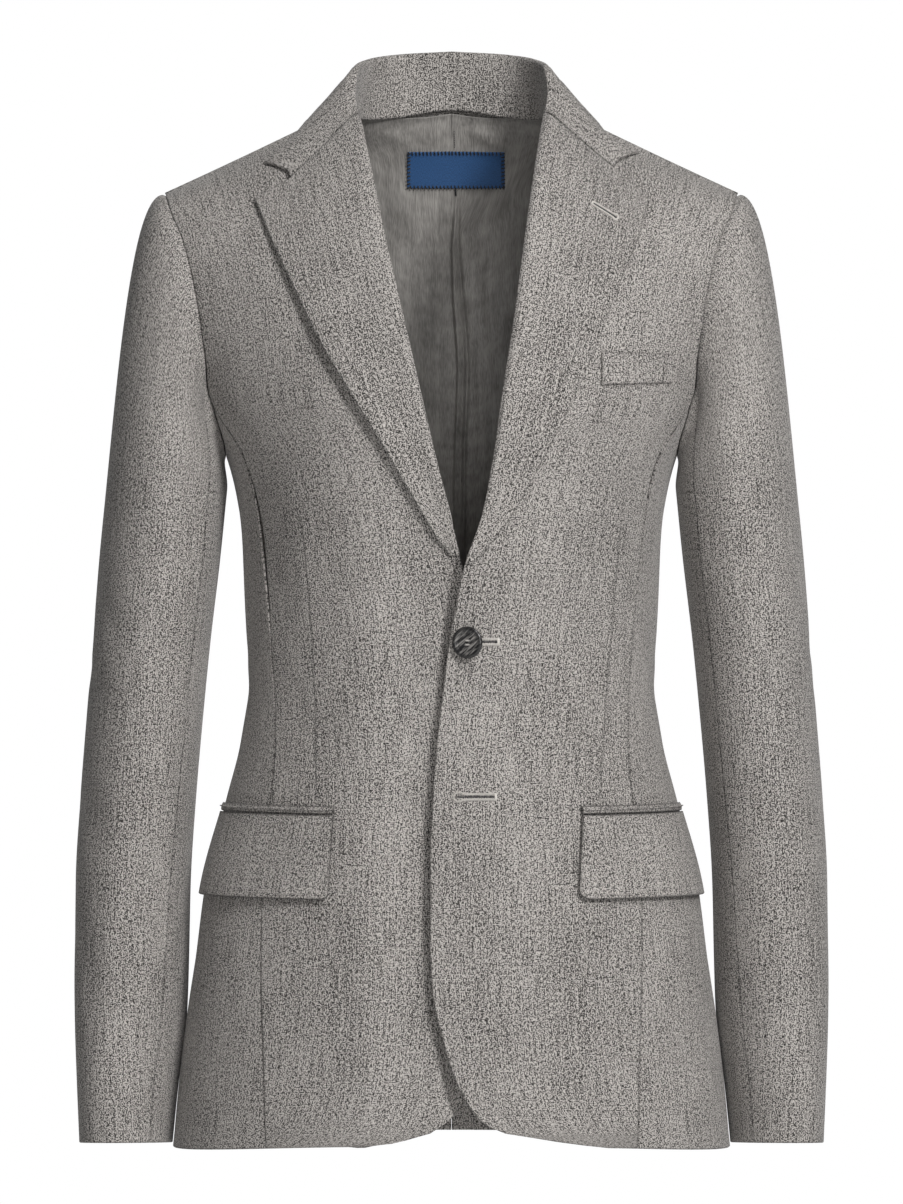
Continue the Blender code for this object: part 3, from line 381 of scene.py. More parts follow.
def normals_of(surface, angle, level):
    """Cross product of the surface's two small steps, turned to point out of the torso and its neck."""
    points = surface(angle, level)
    above_neck = np.clip(points[..., 2:] - NECK_Z, 0.0, None)
    outward = points * [1.0, 1.0, 0.0] + above_neck * [0.0, 0.0, 1.0]
    return facing(np.cross(*steps(surface, angle, level)), outward)


def right_front(angle, level):
    """The right front in half coordinates: it sinks below the left one where they overlap."""
    level = np.clip(level, 0.0, last_row(FRONT))
    points = left_front(angle, level)
    drop = sum(deep * smooth((start - points[..., 0]) / wide) for deep, start, wide in OVERLAP_SINKS)
    drop = drop * smooth((OVERLAP_TOP_Z - points[..., 2]) / OVERLAP_FADE)
    return points - normals_of(left_front, angle, level) * drop[..., None]


def front_of(side):
    return left_front if side > 0 else right_front


def front_edge_x(z, side):
    """Where a front's own edge lies at a height, short of the roll line so that the lapel folds round it."""
    inset = ROLL_INSET * smooth((z - INSET_FROM_Z) / INSET_RISE) * smooth((INSET_TOP_Z - z) / INSET_TOP_Z)
    return side * curve(z, FRONT_EDGE["z"], FRONT_EDGE["left" if side > 0 else "right"]) + inset


def meeting_angle(rows, surface, level, goal, first=0.0):
    """Angle at which each row reaches the x that the goal gives for its points, by many part steps there."""
    width = row_value(rows, "width", level)
    across = np.full(len(level), first)
    for _ in range(80):
        points = surface(np.arcsin(np.clip(across / width, -0.99, 0.99)), level)
        across = 0.6 * across + 0.4 * goal(points)
    return np.arcsin(across / width)


def seam_angle(rows, level, gap):
    """Angle at which each row meets its seam, with a gap in mm further round."""
    return row_value(rows, "end_angle", level) + gap / row_value(rows, "width", level)


def spread(length, step):
    """Shares from 0 to 1 along a length, a step apart, with close lines near each end for the rounded rim."""
    rim = RIM_LINES / length
    inside = np.linspace(RIM_END / length, 1 - RIM_END / length, max(int(length / step), 2))
    return np.concatenate([rim, inside, 1 - rim[::-1]])


def levels_of(rows, top):
    """Levels from the lowest row to a top one, evenly spaced by height, with close rows at both rims."""
    fine = np.linspace(0.0, last_row(rows), 2000)
    low, high = rows["centre_z"][0], rows["centre_z"][int(top)]
    wanted = low + (high - low) * spread(high - low, GRID_STEP)
    return np.interp(wanted, row_value(rows, "centre_z", fine), fine)


def fan(level, start, end, length):
    """Angles and levels of a grid whose rows run from a start to an end angle, over about a length."""
    angle = start[:, None] + (end - start)[:, None] * spread(length, GRID_STEP)
    return angle, np.broadcast_to(level[:, None], angle.shape)


def lengths(points):
    """Running length of a grid's lines down its rows and along its columns, in millimetres."""
    down = np.linalg.norm(np.diff(points, axis=0, prepend=points[:1]), axis=-1).cumsum(axis=0)
    across = np.linalg.norm(np.diff(points, axis=1, prepend=points[:, :1]), axis=-1).cumsum(axis=1)
    return down, across


def grid_normals(points, outward):
    """Cross product of the grid's own differences, turned to agree with the outward directions."""
    return facing(np.cross(np.gradient(points, axis=0), np.gradient(points, axis=1)), outward)


def creases(first, second, rows):
    """Sum of soft troughs: each lies along a bowed line from one place to another, is deep exp(-(distance /
    wide)^2) and fades at both ends as the sine of the share along it. A negative depth is a ridge."""
    total = np.zeros(np.broadcast(first, second).shape)
    for a0, b0, a1, b1, bow, wide, deep in zip(*rows.values()):
        run = np.array([a1 - a0, b1 - b0])
        length = np.hypot(*run)
        share = ((first - a0) * run[0] + (second - b0) * run[1]) / length**2
        aside = ((first - a0) * -run[1] + (second - b0) * run[0]) / length
        fade = np.sin(np.pi * np.clip(share, 0.0, 1.0)) ** 0.8
        total += deep * fade * hill(aside, bow * 4 * share * (1 - share), wide)
    return total


def new_piece(name, points, faces, material):
    """A smooth mesh over points in millimetres, as an object with its material."""
    mesh = bpy.data.meshes.new(name)
    mesh.from_pydata((points.reshape(-1, 3) * 0.001).tolist(), [], faces)
    mesh.shade_smooth()
    mesh.materials.append(material)
    return placed(name, mesh)


def add_fact(piece, name, values):
    """Gives each point of a piece a number, which its material reads."""
    layer = piece.data.attributes.new(name, "FLOAT", "POINT")
    layer.data.foreach_set("value", values.ravel().astype(np.float32))


def cloth_wall(name, points, outward, material, grain="rows", thickness=CLOTH, facts=(), rim=0.75, flip=1.0):
    """A closed wall of cloth: the face on the grid, the wrong side one thickness in. Within a rim's width of
    each edge both sides round together as a quarter circle does. The UV map 'cloth' holds lengths in metres
    across and along the grain."""
    normal = grid_normals(points, outward)
    down, across = lengths(points)
    edge = np.minimum.reduce([down, down[-1:] - down, across, across[:, -1:] - across])
    sink = RIM_SHARE * thickness * (1 - np.sqrt(1 - (1 - np.clip(edge / rim, 0.0, 1.0)) ** 2))
    outer = (points - normal * sink[..., None]) * [flip, 1.0, 1.0]
    inner = (points - normal * (thickness - sink)[..., None]) * [flip, 1.0, 1.0]
    rows, columns = points.shape[:2]
    grid = np.arange(rows * columns).reshape(rows, columns)
    quads = np.stack([grid[:-1, :-1], grid[:-1, 1:], grid[1:, 1:], grid[1:, :-1]], axis=-1).reshape(-1, 4)
    ring = np.concatenate([grid[0, :-1], grid[:-1, -1], grid[-1, :0:-1], grid[:0:-1, 0]])
    after = np.roll(ring, -1)
    rims = np.stack([after, ring, ring + grid.size, after + grid.size], axis=-1)
    faces = np.concatenate([quads, quads[:, ::-1] + grid.size, rims])
    places = np.concatenate([outer.reshape(-1, 3), inner.reshape(-1, 3)])
    start = places[quads[:, 0]]
    turn = np.cross(places[quads[:, 1]] - start, places[quads[:, 3]] - start)
    if np.sum(turn * (start - places[quads[:, 0] + grid.size])) < 0:
        faces = faces[:, ::-1]
    piece = new_piece(name, places, faces.tolist(), material)
    along = down.mean(axis=1)[:, None] + 0.0 * across
    aside = across - across[:, columns // 2, None]
    lay = np.stack([aside, along] if grain == "rows" else [along, aside], axis=-1).reshape(-1, 2) * 0.001
    loops = np.empty(len(piece.data.loops), dtype=np.int32)
    piece.data.loops.foreach_get("vertex_index", loops)
    uv = piece.data.uv_layers.new(name="cloth")
    uv.data.foreach_set("uv", lay[loops % grid.size].astype(np.float32).ravel())
    for fact, values in {"edge": edge, **dict(facts)}.items():
        add_fact(piece, fact, np.tile(values.ravel(), 2))
    return piece


# The yarns that show, as spots of noise: how wide and how long each is, and how much it counts.
WOOL_YARNS = (
    (0.8, 0.8, 2.0), (0.7, 2.4, 1.3), (2.0, 0.7, 0.9),
    (1.1, 30.0, 0.55), (24.0, 1.1, 0.2), (60.0, 90.0, 0.2),
)
WOOL_DARK = (0.028, 0.0265, 0.025)
WOOL_PALE = (0.560, 0.531, 0.505)
WOOL_TONE = (0.16, 0.84)
WOOL_RELIEF = (0.7, 0.00016)
# How far in from every edge and seam a painted shade darkens the cloth, and how wide a sewn line is, how dark
# its painted shade is and how deep its groove.
EDGE_WIDTH = (0.4, 1.5)
SEWN_WIDTH = (0.0, 1.1)
SEWN_SHADE = 0.42
SEWN_DEPTH = 2.5


def woven(start, yarns, detail=1.0):
    """Half, plus the sum of noise spots over the cloth: each kind is as wide across the grain and as long
    along it, in mm, and counts as much as its row says."""
    place = start.node("UVMap", {"uv_map": "cloth"})
    total = 0.5
    for wide, long, weight in yarns:
        stretched = start.node("Mapping", (), {"Vector": place, "Scale": (1000 / wide, 1000 / long, 1.0)})
        spots = {"Vector": stretched, "Scale": 1.0, "Detail": detail}
        total = total + (start.node("TexNoise", {"noise_dimensions": "2D"}, spots) - 0.5) * weight
    return total


def dress(shader, colour, relief=None, bump=(0.0, 0.0)):
    """Feeds a colour to a shader, and a relief as a bump with its strength and its distance in metres."""
    colour.feed(shader, "Base Color")
    if relief:
        sockets = {"Strength": bump[0], "Distance": bump[1], "Height": relief}
        relief.node("Bump", (), sockets).feed(shader, "Normal")


def wool_cloth(name, sewn_lines=(), edge_shade=0.36):
    """Salt-and-pepper worsted: pale and dark yarns spot each other at random in both directions, with long
    faint slubs along the grain. A painted shade darkens the colour near every edge, so that cut edges and
    seams look shaded. It also darkens each sewn line, beside its groove in the relief. Sewn lines are
    attributes that hold the signed distance from a line in mm, each with the attribute of its strength."""
    finish = {"Sheen_Weight": 0.22, "Sheen_Roughness": 0.45, "Specular_IOR_Level": 0.2}
    material, shader, start = new_material(name, 0.92, **finish)
    yarn = relief = woven(start, WOOL_YARNS)
    # Painted shade near every edge and seam, as strong as edge_shade says.
    shade = 1.0 - (1.0 - start.fact("edge").between(*EDGE_WIDTH)) * edge_shade
    for line, strength in sewn_lines:
        aside = start.math("ABSOLUTE", start.fact(line))
        # Painted shade along the sewn line, on top of its groove in the relief.
        sewn = (1.0 - aside.between(*SEWN_WIDTH)) * start.fact(strength)
        shade = shade - sewn * SEWN_SHADE
        relief = relief - sewn * SEWN_DEPTH
    tone = yarn.between(*WOOL_TONE) * shade
    dress(shader, tone.blend(WOOL_DARK, WOOL_PALE), relief, WOOL_RELIEF)
    return material


wool = wool_cloth("wool")
# Flaps and jets get a darker painted shade along their edges.
edge_shaded_wool = wool_cloth("edge_shaded_wool", edge_shade=0.72)
wool_with_dart = wool_cloth("wool_with_dart", [("dart", "dart_depth")])

# Darts by height for each side: how far from the centre plane the sewn line lies. They fade at both ends.
DARTS = {1: table("""z x
-449 98
-384 102
-345 105
-257 112"""), -1: table("""z x
-449 88.9
-354 91.5
-283 96.7
-245 101.8""")}
DART_FADE = (3.0, 30.0)
FRONT_LENGTH = 190.0
# Creases by side in half coordinates: from one place to another, bow, width and depth.
FRONT_CREASES = {1: table("""from_x from_z to_x to_z bow wide deep
42 -325 45 -455 0 7 0.45
72 -205 47 -300 2 9 0.8
30 -350 118 -318 6 8 0.45
34 -362 120 -398 -6 9 0.35
150 -196 112 -262 6 11 0.9
140 -215 128 -330 4 10 0.8
112 -250 108 -345 0 9 -0.7
60 -505 68 -665 3 15 0.7
108 -535 124 -675 3 14 -0.9
28 -520 34 -650 2 12 -0.5
158 -60 118 -150 10 16 0.8"""), -1: table("""from_x from_z to_x to_z bow wide deep
128 -225 112 -350 5 15 2
100 -235 93 -350 0 8 -0.9
52 -215 30 -305 -3 12 -1
146 -205 118 -300 5 8 0.9
30 -340 104 -300 8 9 0.5
34 -362 118 -392 -8 9 0.5
120 -350 78 -425 4 12 0.7
52 -380 56 -520 2 13 0.5
64 -510 72 -662 3 14 0.9
112 -520 128 -672 3 13 -1
30 -560 36 -655 2 10 0.5
150 -70 120 -160 8 14 1""")}
FRONT_OUTWARD = np.array([0.4, -1.0, 0.2])


def front_panel(side):
    """Rows from hem to shoulder seam, each from the front edge to the side seam and the armhole."""
    level = levels_of(FRONT, last_row(FRONT))
    start = meeting_angle(FRONT, left_front, level, lambda spot: front_edge_x(spot[..., 2], side))
    angle, level = fan(level, start, seam_angle(FRONT, level, -HALF_GAP), FRONT_LENGTH)
    surface = front_of(side)
    points = surface(angle, level)
    across, height = points[..., 0], points[..., 2]
    dents = creases(across, height, FRONT_CREASES[side])
    dart = DARTS[side]
    aside = across - curve(height, dart["z"], dart["x"])
    depth = smooth((dart["z"][-1] - height) / DART_FADE[1]) * smooth((height - dart["z"][0]) / DART_FADE[0])
    points = points - normals_of(surface, angle, level) * dents[..., None]
    points[-1, :, 1] -= HALF_GAP
    return points, {"dart": aside, "dart_depth": depth}


for side, word in SIDES:
    points, facts = front_panel(side)
    piece = cloth_wall(f"front_{word}_cloth", points, FRONT_OUTWARD, wool_with_dart, facts=facts, flip=side)
    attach(piece, "root")
    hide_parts(f"front_{word}")


# ----------------------------------------
# Side panels. One strip of wool a side, cut from hem to armhole and sewn between front and back. The
# hip pocket runs across its front seam, and the armhole's lowest part is its top edge.

SIDE_LENGTH = 130.0
SIDE_OUTWARD = np.array([1.0, 0.0, 0.1])
SIDE_CREASES = table("""from_x from_z to_x to_z bow wide deep
-30 -215 20 -330 6 12 0.7
-10 -560 6 -672 4 16 -0.9
34 -520 44 -665 3 12 0.7
-44 -372 40 -392 4 11 0.7
-40 -345 36 -356 -3 8 0.4""")


def side_panel():
    """Rows from hem to armhole, each from the front seam over the side line to the back seam. The rows sink
    towards the side line as the armhole's bottom does."""
    level = levels_of(FRONT, ARMHOLE_LEVEL)
    across = 2.0 * spread(SIDE_LENGTH, GRID_STEP)
    halves = []
    for rows, surface, share in ((FRONT, left_front, across), (BACK, back_half, 2.0 - across)):
        share = np.clip(share, 0.0, 1.0)
        row = level[:, None] * (1 - (1 - (1 - share) ** 2) / ARMHOLE_LEVEL)
        seam = seam_angle(rows, row, HALF_GAP)
        halves.append(surface(seam + (0.5 * math.pi - seam) * share, row))
    return np.where((across < 1.0)[:, None], halves[0], halves[1])


SIDE_PLAIN = side_panel()
dents = creases(SIDE_PLAIN[..., 1], SIDE_PLAIN[..., 2], SIDE_CREASES)
points = SIDE_PLAIN - grid_normals(SIDE_PLAIN, SIDE_OUTWARD) * dents[..., None]
for side, word in SIDES:
    piece = cloth_wall(f"side_panel_{word}_cloth", points, SIDE_OUTWARD, wool, flip=side)
    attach(piece, "root")
    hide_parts(f"side_panel_{word}")


# ----------------------------------------
# Backs. Two shaped halves of wool, sewn together down the centre from the neckline to a plain hem.
# Their shoulder edges meet the fronts and their side edges meet the side panels.

NECK_HALF_WIDTH = 71.0
NECK_BACK_DEPTH = 62.0
BACK_LENGTH = 180.0
BACK_OUTWARD = np.array([0.3, 1.0, 0.2])
BACK_CREASES = table("""from_x from_z to_x to_z bow wide deep
150 -90 60 -190 10 16 0.8
150 -150 80 -250 8 14 0.7
8 -340 100 -360 6 12 0.8
10 -388 110 -380 -5 12 0.6
50 -520 58 -670 3 16 -0.8
96 -470 110 -665 4 15 0.8
20 -60 90 -74 4 14 0.6""")


def neckline_x(points):
    """How far out the neckline lies at the depth of the points: a half ellipse seen from above."""
    share = np.clip(points[..., 1] / NECK_BACK_DEPTH, 0.0, 1.0)
    return np.maximum(NECK_HALF_WIDTH * np.sqrt(1 - share**2), HALF_GAP)


def neckline_angle(level):
    return meeting_angle(BACK, back_half, level, neckline_x, HALF_GAP)


level = levels_of(BACK, last_row(BACK))
angle, level = fan(level, neckline_angle(level), seam_angle(BACK, level, -HALF_GAP), BACK_LENGTH)
points = back_half(angle, level)
dents = creases(points[..., 0], points[..., 2], BACK_CREASES)
points -= normals_of(back_half, angle, level) * dents[..., None]
points[-1, :, 1] += HALF_GAP
for side, word in SIDES:
    piece = cloth_wall(f"back_{word}_cloth", points, BACK_OUTWARD, wool, flip=side)
    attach(piece, "root")
    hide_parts(f"back_{word}")


# ----------------------------------------
# Sleeves. Two pieces a side, an upper and an under sleeve, joined by the forearm and hindarm seams. The
# cap is eased into the armhole and rounds over it, and the hem is turned up plain.

SLEEVE = table("""centre_z outer inner half_depth y turn
-681.4 247.4 188.2 46 -4 0.17
-640 249.2 184 47 -1 0.18
-600 250.9 178.8 48.5 2 0.17
-560 251.8 176.8 50.5 5 0.12
-506 251.7 175.2 53 7 0.06
-452 249 171.6 55 8 0.02
-399 245 167 57 8 0
-345 240.5 161.6 58.5 6 0
-290 236 155 60 3 0
-245 231.5 150.4 61 1 0""")
CUFF_TILT = 3.2
# Directions in which the cap leaves the armhole, round from the shoulder tip past the front.
CAP = table("""angle out forward drop
0 21 0 -5
45 17 9 9
90 12 10 22
135 6 6 13
180 3.5 0 8
225 6 -6 13
270 12 -10 22
315 17 -9 9
360 21 0 -5""")
CAP_CLEARANCE = 0.3
# How far past the armhole the cap reaches, and how deep its end sinks: from which height, over what height.
CAP_TUCK = 1.03
CAP_SINK, CAP_SINK_FROM, CAP_SINK_OVER = 0.7, 1.965, 0.05
CAP_LENGTH, CAP_STEP = 150.0, 4.0
CREASES_END, CREASES_FADE = 1.96, 0.2
SLEEVE_MIDDLE = (205.0, 0.0, 0.0)
SLEEVE_RADIUS = 50.0
FOREARM_SEAM, HINDARM_SEAM = 138.0, 265.0
ARMHOLE_CENTRE_Z = -134.0
# Creases by side: the way round in mm (the angle times 50, 0 at the outer line, 79 at the front), and height.
SLEEVE_CREASES = {1: table("""from_x from_z to_x to_z bow wide deep
10 -300 95 -330 6 12 0.9
20 -345 108 -372 -8 10 1.1
0 -372 92 -392 8 9 0.8
40 -420 108 -470 6 12 0.9
20 -520 90 -560 6 14 0.7
66 -560 72 -676 2 12 -0.6
96 -150 104 -300 5 12 1.3
70 -120 60 -240 6 14 0.7
-60 -330 20 -362 6 10 1.1
-70 -380 10 -372 -6 9 0.8"""), -1: table("""from_x from_z to_x to_z bow wide deep
8 -318 60 -352 8 10 1.4
-6 -356 52 -382 -6 8 1.5
50 -330 112 -372 6 12 1
10 -440 58 -486 8 14 1.5
18 -530 66 -612 10 13 1.3
60 -480 108 -520 6 12 0.9
84 -190 76 -420 4 13 -1.2
72 -420 60 -676 3 13 -1
98 -150 106 -310 5 12 1.5
40 -90 30 -230 4 16 0.8
-60 -330 10 -352 6 10 1.1
-70 -380 0 -372 -6 9 0.8""")}


def armhole_edge():
    """Angles and points round the armhole: down the front, below the arm and up the back."""
    down = np.linspace(last_row(FRONT), ARMHOLE_LEVEL, 41)
    up = np.linspace(ARMHOLE_LEVEL, last_row(BACK), 41)
    front = left_front(row_value(FRONT, "end_angle", down), down)
    back = back_half(row_value(BACK, "end_angle", up), up)
    points = np.concatenate([front, SIDE_PLAIN[-1, 1:-1], back])
    angle = np.arctan2(-points[:, 1], points[:, 2] - ARMHOLE_CENTRE_Z)
    angle = np.where(angle < -1e-9, angle + math.tau, angle)
    angle[0], angle[-1] = 0.0, math.tau
    return angle, points


ARMHOLE_ANGLES, ARMHOLE_POINTS = armhole_edge()


def sleeve_ring(angle, level):
    """Oval section of the left sleeve, its angle running from the outer side past the front."""
    z, outer, inner, half_depth, y, turn = (row_value(SLEEVE, name, level) for name in SLEEVE)
    forward = half_depth * np.sin(angle)
    x = 0.5 * (outer + inner) + 0.5 * (outer - inner) * np.cos(angle) + turn * forward
    z = z + CUFF_TILT * np.sin(angle) * np.clip(1.0 - level, 0.0, 1.0) ** 2
    return np.stack([x, y - forward, z], axis=-1)


def sleeve_surface(angle, height):
    """Height 0 to 1 is the tube from cuff to upper arm, 1 to 2 a cubic Bezier from there to the armhole."""
    turn = np.mod(angle, math.tau)
    top_row = np.full(angle.shape, last_row(SLEEVE))
    tube = sleeve_ring(angle, np.clip(height, 0.0, 1.0) * top_row)
    top = sleeve_ring(angle, top_row)
    step = top - sleeve_ring(angle, top_row - 0.02)
    edge = np.stack([np.interp(turn, ARMHOLE_ANGLES, axis) for axis in ARMHOLE_POINTS.T], axis=-1)
    reach = [curve(turn, np.radians(CAP["angle"]), CAP[name]) for name in ("out", "forward", "drop")]
    away = np.stack(reach, axis=-1) * [1.0, -1.0, -1.0]
    edge = edge + unit(away) * CAP_CLEARANCE
    lower = top + step / step[..., 2:] * 0.5 * (edge - top)[..., 2:]
    upper = edge + away
    part = np.clip(height - 1.0, 0.0, CAP_TUCK)[..., None]
    rest = 1 - part
    cap = rest**3 * top + 3 * rest**2 * part * lower + 3 * rest * part**2 * upper + part**3 * edge
    return np.where((height > 1.0)[..., None], cap, tube)


def sleeve_panel(side, first, last):
    """One sleeve piece between two lengthwise seams, given in degrees round the sleeve."""
    top = last_row(SLEEVE)
    tube = levels_of(SLEEVE, top)
    tube = tube[: np.searchsorted(tube, top - 0.1)] / top
    cap = 1.0 + CAP_TUCK * spread(CAP_LENGTH, CAP_STEP)[len(RIM_LINES) :]
    trim = HALF_GAP / SLEEVE_RADIUS
    first, last = math.radians(first) + trim, math.radians(last) - trim
    angle = first + (last - first) * spread((last - first) * SLEEVE_RADIUS, GRID_STEP)
    angle, height = np.broadcast_arrays(angle, np.concatenate([tube, [1.0], cap])[:, None])
    points = sleeve_surface(angle, height)
    outward = (points - SLEEVE_MIDDLE) * [1.0, 1.0, 0.0]
    rows = SLEEVE_CREASES[side]
    dents = sum(creases((angle - back) * SLEEVE_RADIUS, points[..., 2], rows) for back in (0.0, math.tau))
    dents = dents * smooth((CREASES_END - height) / CREASES_FADE)
    dents = dents + CAP_SINK * smooth((height - CAP_SINK_FROM) / CAP_SINK_OVER)
    return points - grid_normals(points, outward) * dents[..., None], outward


for side, word in SIDES:
    for layer, first, last, flat, area in (
        ("upper", HINDARM_SEAM - 360.0, FOREARM_SEAM, (0.235, 0.66), 0.118),
        ("under", FOREARM_SEAM, HINDARM_SEAM, (0.14, 0.53), 0.062),
    ):
        points, outward = sleeve_panel(side, first, last)
        piece = cloth_wall(f"{layer}_sleeve_{word}_cloth", points, outward, wool, flip=side)
        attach(piece, "root")
        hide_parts(f"{layer}_sleeve_{word}")


# ----------------------------------------
# Lapels. The facing of each front, turned out along the roll line with a soft fold and laid over the
# chest. The notch lies where its top edge leaves the gorge seam, and the left lapel has a buttonhole.

NOTCH = {
    1: {"corner": (105.8, -31.4), "collar_tip": (125.0, -20.8)},
    -1: {"corner": (103.8, -37.6), "collar_tip": (124.4, -28.2)},
}
NOTCH_SHARE = 0.66
GORGE_RISE = np.array([0.0, 0.0, 0.7])
LAPEL_LIFT = 2.3
LAPEL_LENGTH, LAPEL_WIDTH = 300.0, 130.0
LAPEL_STEPS = (4.0, 2.6)
FULL_ROLL = 42.0
STAND_OFF_FROM = 0.35
# Rows from break to gorge: the roll line's height, the outer edge and how far that edge stands off the chest.
LAPEL = {1: table("""roll_z edge_x edge_z stand_off
-294 13.5 -295 0
-262 36.5 -267 0
-222 58.5 -228 0
-180 77.5 -191 0.2
-135 96 -147 0.4
-92 111.5 -107 0.6
-50 123.5 -78 0.8
4 130.2 -53.2 1"""), -1: table("""roll_z edge_x edge_z stand_off
-289 2.8 -289 0.5
-262 17 -264 2.5
-222 38.5 -227 4.5
-180 60 -191 5.5
-135 83 -152 5
-92 101.5 -115 3.5
-48 117.5 -82 2
3 129.6 -53.5 1.2""")}
# From below the fold to the outer edge: share of the width, reach past the front's edge, height over it.
LAPEL_PROFILE = table("""place share reach lift
0 0 -2.3 -1
0.1 0 -2.7 1.2
0.2 0 -1 3.6
0.32 0.05 0 4.8
0.5 0.22 0 4
0.7 0.5 0 2.9
0.86 0.78 0 2.4
1 1 0 2.3""")
LAPEL_OUTWARD = np.array([0.2, -1.0, 0.2])


def flat_cross(first, second):
    """x1 y2 - y1 x2."""
    return first[..., 0] * second[..., 1] - first[..., 1] * second[..., 0]


def locate(surface, goal, axes, angle, level, top):
    """Newton steps to the angle and level where a panel's surface meets the goal on two of its axes."""
    for _ in range(14):
        miss = surface(angle, level)[..., axes] - goal
        turn, rise = (step[..., axes] / (2 * SMALL) for step in steps(surface, angle, level))
        flat = flat_cross(turn, rise)
        flat = np.where(np.abs(flat) < 1e-6, 1e-6, flat)
        angle = np.clip(angle - np.clip(flat_cross(miss, rise) / flat, -0.2, 0.2), -0.6, 1.6)
        level = np.clip(level - np.clip(flat_cross(turn, miss) / flat, -0.8, 0.8), 0.01, top - 0.01)
    return angle, level


def seen_spots(rows, surface, x, z):
    """Points and normals of a half panel at places seen from the front."""
    level = np.interp(z, rows["centre_z"], np.arange(last_row(rows) + 1.0))
    angle = np.arcsin(np.clip(x / row_value(rows, "width", level), -0.9, 0.9))
    spot = locate(surface, np.stack([x, z], axis=-1), [0, 2], angle, level, last_row(rows))
    return surface(*spot), normals_of(surface, *spot)


def on_front(surface, x, z):
    return seen_spots(FRONT, surface, *np.broadcast_arrays(np.asarray(x, float), np.asarray(z, float)))


def notch_tent(share):
    """Rises evenly from 0 at the fold to 1 at the notch and falls to 0 at the outer edge."""
    return np.minimum(share / NOTCH_SHARE, (1 - share) / (1 - NOTCH_SHARE))


def lapel_surface(side, place, row):
    """Seen face of a lapel in half coordinates, folded round the front's edge and laid over the chest."""
    place, row = np.broadcast_arrays(np.asarray(place, float), np.asarray(row, float))
    rows = LAPEL[side]
    roll_z, edge_x, edge_z, stand_off = (row_value(rows, name, row) for name in rows)
    known = LAPEL_PROFILE["place"]
    share, reach, lift = (curve(place, known, LAPEL_PROFILE[name]) for name in ("share", "reach", "lift"))
    roll_x = front_edge_x(roll_z, side)
    width = np.hypot(edge_x - roll_x, edge_z - roll_z)
    fullness = smooth(width / FULL_ROLL)
    stand_off = stand_off * smooth((share - STAND_OFF_FROM) / (1 - STAND_OFF_FROM))
    lift = LAPEL_LIFT + (lift - LAPEL_LIFT) * fullness + stand_off
    out = share + reach * fullness / width
    x = roll_x + (edge_x - roll_x) * out
    z = roll_z + (edge_z - roll_z) * out
    corner = NOTCH[side]["corner"]
    gorge_x = [roll_x.flat[-1], rows["edge_x"][-1]]
    gorge_z = np.interp(corner[0], gorge_x, [roll_z.flat[-1], rows["edge_z"][-1]])
    near_top = np.clip((row - last_row(rows) + 2.0) / 2.0, 0.0, 1.0) ** 2
    z = z + (corner[1] - gorge_z) * notch_tent(share) * near_top
    points, normals = on_front(front_of(side), x, z)
    return points + normals * lift[..., None]


for side, word in SIDES:
    row = last_row(LAPEL[side]) * spread(LAPEL_LENGTH, LAPEL_STEPS[0])[:, None]
    points = lapel_surface(side, spread(LAPEL_WIDTH, LAPEL_STEPS[1]), row)
    piece = cloth_wall(f"lapel_{word}_cloth", points, LAPEL_OUTWARD, wool, flip=side)
    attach(piece, "root")
    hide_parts(f"lapel_{word}")


# ----------------------------------------
# Collar. One folded piece of wool round the neck: its stand rises from the neck seam, and its fall lies
# over the shoulders down to the gorge seams and the notches.

# Stations 0 to 4 from the centre back to the shoulder's front. The lapel's top gives station 5.
COLLAR = table("""neck_x neck_y fold_x fold_y fold_z edge_x edge_y
0 62 0 57 54 0 70
38.7 52 34 50 51.5 42 66
62.7 29.1 54 28 46.5 76 43
71 0 62 0 39 96 4
66 -12 64 -10 23 108 -12""")
COLLAR_LENGTH = 160.0
COLLAR_LIFT = 2.5
COLLAR_MIDDLE = (0.0, 0.0, 40.0)
FOLD_RADIUS = 2.3
FOLD_NARROWING = 0.55
FOLD_PLACE = 0.15
STAND_INSET = 4.6
STAND_LIFT = (-7.0, 1.0)
STAND_LIFT_STATIONS = (3.5, 4.35)
LAST_CURVED, ENDING_FROM, LAST_STATION = 4.0, 4.7, 5.0
SHOULDER_ROW = 11
# Where the grid's columns lie: shares of the stand's height, turns round the fold, shares of the fall.
STAND_SHARES = (0.0, 0.02, 0.06, 0.12, 0.3, 0.5, 0.7, 0.9, 1.0)
FOLD_TURNS = np.radians(np.arange(157.5, 0.0, -22.5))
FALL_SHARES = (*np.linspace(0.0, 0.6, 12), NOTCH_SHARE, *np.linspace(0.71, 0.95, 6), 0.975, 0.99, 0.997, 1.0)
UP = np.array([0.0, 0.0, 1.0])


def on_shoulders(x, y):
    """Points and normals of the front or back near the shoulder line, at places seen from above."""
    found = []
    for rows, surface, sign in ((FRONT, left_front, -1.0), (BACK, back_half, 1.0)):
        known = rows["centre_y"][SHOULDER_ROW:] * sign
        level = np.interp(-np.maximum(y * sign, 0.0), -known, SHOULDER_ROW + np.arange(float(len(known))))
        angle = np.arcsin(np.clip(x / row_value(rows, "width", level), -0.9, 0.9))
        spot = locate(surface, np.stack([x, y], axis=-1), [0, 1], angle, level, last_row(rows))
        found.append([surface(*spot), normals_of(surface, *spot)])
    return np.where((y < 0)[:, None], *found)


